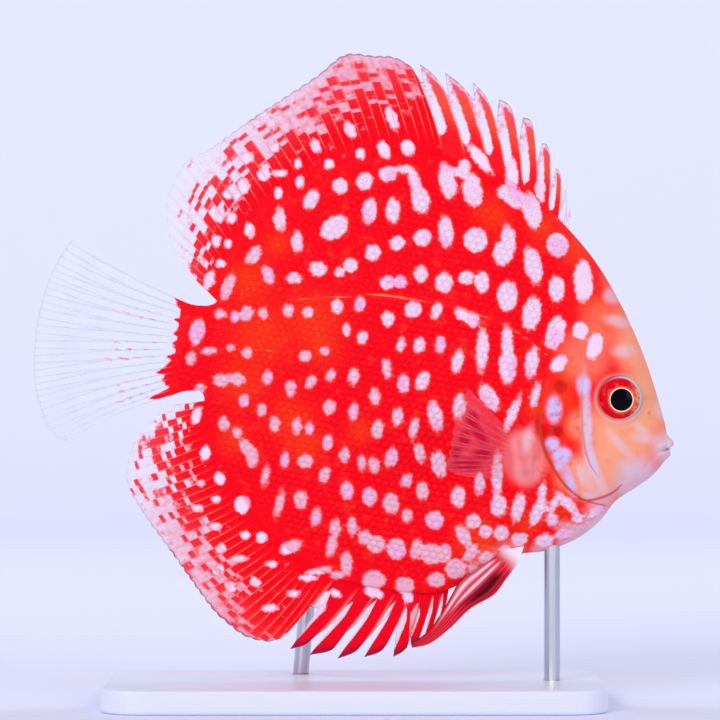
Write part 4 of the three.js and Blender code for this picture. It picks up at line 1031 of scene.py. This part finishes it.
def build_pectoral(side, name):
    """The see-through crimson pectoral fin, spread from its fleshy pad."""
    per = 8
    s = np.linspace(0, 1, (PECTORAL_RAYS - 1) * per + 1)
    phase = (s * (PECTORAL_RAYS - 1))[:, None]
    high, low = (np.array(p) for p in PECTORAL_BASE)
    base = high + (low - high) * s[:, None]
    ends = curve(PECTORAL_TIPS, s)
    x, z, t = fin_grid(base, ends, 48, 0.0)
    notch = 0.6 * (np.abs(phase - np.round(phase)) * 2) ** 2 * smooth(t, 0.9, 1.0)
    x = x + notch * 0.9
    line = ray_line(phase, t, 0.18)
    out = curve(PECTORAL_REACH, s)[:, None] * np.ones_like(x)
    stain = smooth(mark_field(x, z, PECTORAL_STAINS), -1.2, 0.8)
    tone = tints(x.shape, tone="#e23a50", veil="#ee6c86", ray="#f6aab4")
    tone["veil"] = blend(tone["veil"], rgb("#d81240"), stain)
    tone["veil"] = blend(tone["veil"], PAINT["salmon"], 1 - smooth(t, 0.05, 0.3))
    glass = 0.84 - 0.42 * stain + 0.1 * (1 - smooth(t, 0.05, 0.3))
    values = dict(
        fade=1 + 0 * x, line=line, web=0.5 + 0 * x, edge=smooth(t, 0.985, 1.0) * 0.15, pale=-9 + 0 * x,
        blush=0 * x, glass=glass, **tone)
    return build_paired(name, side, x, z, t, line, out, values)


def strands(place, t):
    """Pale strands between the red rays of the pelvic fin."""
    inner = 0.9 * bump(place - 0.62, 0.05) * smooth(t, 0.12, 0.22) * (1 - smooth(t, 0.5, 0.7))
    outer = 0.8 * bump(place - 0.86, 0.07) * smooth(t, 0.1, 0.2) * (1 - smooth(t, 0.6, 0.85))
    return np.maximum(inner, outer)


def build_pelvic(side, name):
    """The narrow folded pelvic fin: white root, red rays, a maroon middle and two pale strands."""
    per = 8
    s = np.linspace(0, 1, (PELVIC_RAYS - 1) * per + 1)[:, None]
    phase = s * (PELVIC_RAYS - 1)
    t = row_steps(96)[None, :]
    lead, trail = curve(PELVIC_LEADING, t[0])[None], curve(PELVIC_TRAILING, t[0])[None]
    grid = lead + (trail - lead) * s[..., None]
    x, z = grid[..., 0], grid[..., 1]
    t = np.broadcast_to(t, x.shape)
    place = s * np.ones_like(x)
    line = ray_line(phase, t, 0.0)
    tone = tints(x.shape, tone="#dd1430", veil="#f0dce8", ray="#e8a0a8")
    white = np.maximum(1 - smooth(t + 0.16 * (place - 0.5), 0.03, 0.17), strands(place, t))
    maroon = bump(place - 0.3, 0.2) * smooth(t, 0.2, 0.3) * (1 - smooth(t, 0.45, 0.7))
    tone["tone"] = blend(tone["tone"], rgb("#3c0016"), maroon * 0.95)
    tone["tone"] = blend(tone["tone"], rgb("#f3e2ee"), white)
    values = dict(
        fade=0.2 * white, line=line, web=0.35 * (1 - maroon), edge=0 * x, pale=-9 + 0 * x, blush=0 * x,
        glass=0.3 + 0 * x, **tone)
    return build_paired(name, side, x, z, t, line, 0.4 + 0 * x, values)


def build_eye(side, name):
    """A flattened ball in its socket, with a pole at the middle of the pupil's side."""
    skin_y = half_width(*place_of(np.array([EYE["x"]]), np.array([EYE["z"]])))[0]
    work = bmesh.new()
    bmesh.ops.create_uvsphere(work, u_segments=64, v_segments=40, radius=MM)
    bmesh.ops.rotate(work, verts=work.verts, cent=(0, 0, 0), matrix=Matrix.Rotation(math.pi / 2, 3, "X"))
    bmesh.ops.scale(work, verts=work.verts, vec=(EYE["radius"], EYE["depth"], EYE["radius"]))
    centre = Vector((EYE["x"], side * float(skin_y - EYE["sunk"]), EYE["z"]))
    bmesh.ops.translate(work, verts=work.verts, vec=centre * MM)
    mesh = bpy.data.meshes.new(name)
    work.to_mesh(mesh)
    work.free()
    return add_object(name, mesh)


# Pieces of the fish, in the order of their random draws
skin_look = skin_material()
fin_look = fin_material()
flesh = ["head", "gill_cover_left", "gill_cover_right", "trunk", "tail_stalk", "lip_upper", "lip_lower"]
finish_piece(build_skin(), skin_look, flesh)
for side, word in ((-1, "right"), (1, "left")):
    finish_piece(build_scales(side, f"scales_{word}"), skin_look)
    finish_piece(build_eye(side, f"eyeball_{word}"), eye_material(word), [f"eye_{word}"])
    finish_piece(build_pectoral(side, f"pectoral_{word}"), fin_look, [f"pectoral_fin_{word}"])
    finish_piece(build_pelvic(side, f"pelvic_{word}"), fin_look, [f"pelvic_fin_{word}"])
upright = (
    (build_spiny_fin("dorsal_spines", DORSAL_LAPPETS, DORSAL_CLOSING, True), "red_fin", "dorsal_fin_spiny"),
    (build_spiny_fin("anal_spines", ANAL_LAPPETS, ANAL_CLOSING, False), "red_fin", "anal_fin_spiny"),
    (build_soft_fin("dorsal_rays", DORSAL_SOFT, DORSAL_RAYS, True, DORSAL_OPENS, DORSAL_CLEAR, 11),
     "red_fin", "dorsal_fin_soft"),
    (build_soft_fin("anal_rays", ANAL_SOFT, ANAL_RAYS, False, ANAL_OPENS, ANAL_CLEAR, 5),
     "red_fin", "anal_fin_soft"),
    (build_caudal(), "clear_fin", "caudal_fin"),
)
for fin, slot, node in upright:
    finish_piece(fin, fin_look, [node])

# Lacquered board with a satin coat, which gives a broad soft highlight
base_look, _, _ = new_material("stand_plate", Base_Color="#dcdff2", Roughness=0.35)
# Drawn and brushed steel, bare, so its reflections are bright and a little blurred
rod_look, _, _ = new_material("stand_steel", Base_Color="#c9ccd6", Roughness=0.28, Metallic=1.0)
for node, look in (("stand_base", base_look), ("stand_rod_front", rod_look), ("stand_rod_rear", rod_look)):
    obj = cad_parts[node]
    for i in range(len(obj.material_slots)):
        obj.material_slots[i].material = look


def build_cove():
    """Floor that curves up into a backdrop, and reaches far to every side."""
    wide, near, far, high, bend = 4.0, -3.0, 1.6, 2.6, 0.6
    angle = np.linspace(0, math.pi / 2, 25)[1:]
    curved = zip(far - bend + bend * np.sin(angle), bend - bend * np.cos(angle))
    profile = [(near, 0.0), (far - bend, 0.0), *curved, (far, high)]
    work = bmesh.new()
    points = [work.verts.new((-wide, y, z)) for y, z in profile]
    edges = [work.edges.new(pair) for pair in zip(points[:-1], points[1:])]
    drawn = bmesh.ops.extrude_edge_only(work, edges=edges)["geom"]
    moved = [part for part in drawn if isinstance(part, bmesh.types.BMVert)]
    bmesh.ops.translate(work, verts=moved, vec=(2 * wide, 0.0, 0.0))
    mesh = bpy.data.meshes.new("cove")
    work.to_mesh(mesh)
    work.free()
    # Matt background paper, which gives no highlight
    look, _, _ = new_material("cove_paper", Base_Color="#e3e5fb", Roughness=0.9)
    mesh.materials.append(look)
    obj = add_object("cove", mesh)


def area_light(name, place, target, size, power):
    """A round lamp at a place, aimed at a target."""
    data = bpy.data.lights.new(name, "AREA")
    data.shape = "DISK"
    data.size = size
    data.energy = power
    obj = bpy.data.objects.new(name, data)
    obj.location = place
    obj.rotation_euler = (Vector(target) - Vector(place)).to_track_quat("-Z", "Y").to_euler()
    bpy.context.scene.collection.objects.link(obj)


build_cove()
world = bpy.data.worlds.new("studio")
bpy.context.scene.world = world
world.use_nodes = True
world.node_tree.nodes["Background"].inputs[0].default_value = (0.9, 0.93, 1.0, 1.0)
world.node_tree.nodes["Background"].inputs[1].default_value = 0.5
area_light("key", (-0.8, -1.5, 0.7), LIT_MIDDLE, 0.9, 15.0)
area_light("fill", (1.1, -1.2, 0.4), LIT_MIDDLE, 0.9, 6.0)
for side in (-1, 1):
    area_light("backdrop", (side * 0.8, 0.4, 0.9), (side * 0.2, 1.1, 0.05), 0.6, 4.6)

camera_data = bpy.data.cameras.new("camera")
camera_data.lens = 200
camera_data.sensor_width = 36
camera = bpy.data.objects.new("camera", camera_data)
camera.location = CAMERA_PLACE
camera.rotation_euler = (math.pi / 2, 0, 0)
bpy.context.scene.collection.objects.link(camera)
bpy.context.scene.camera = camera
bpy.context.scene.view_settings.view_transform = "Standard"
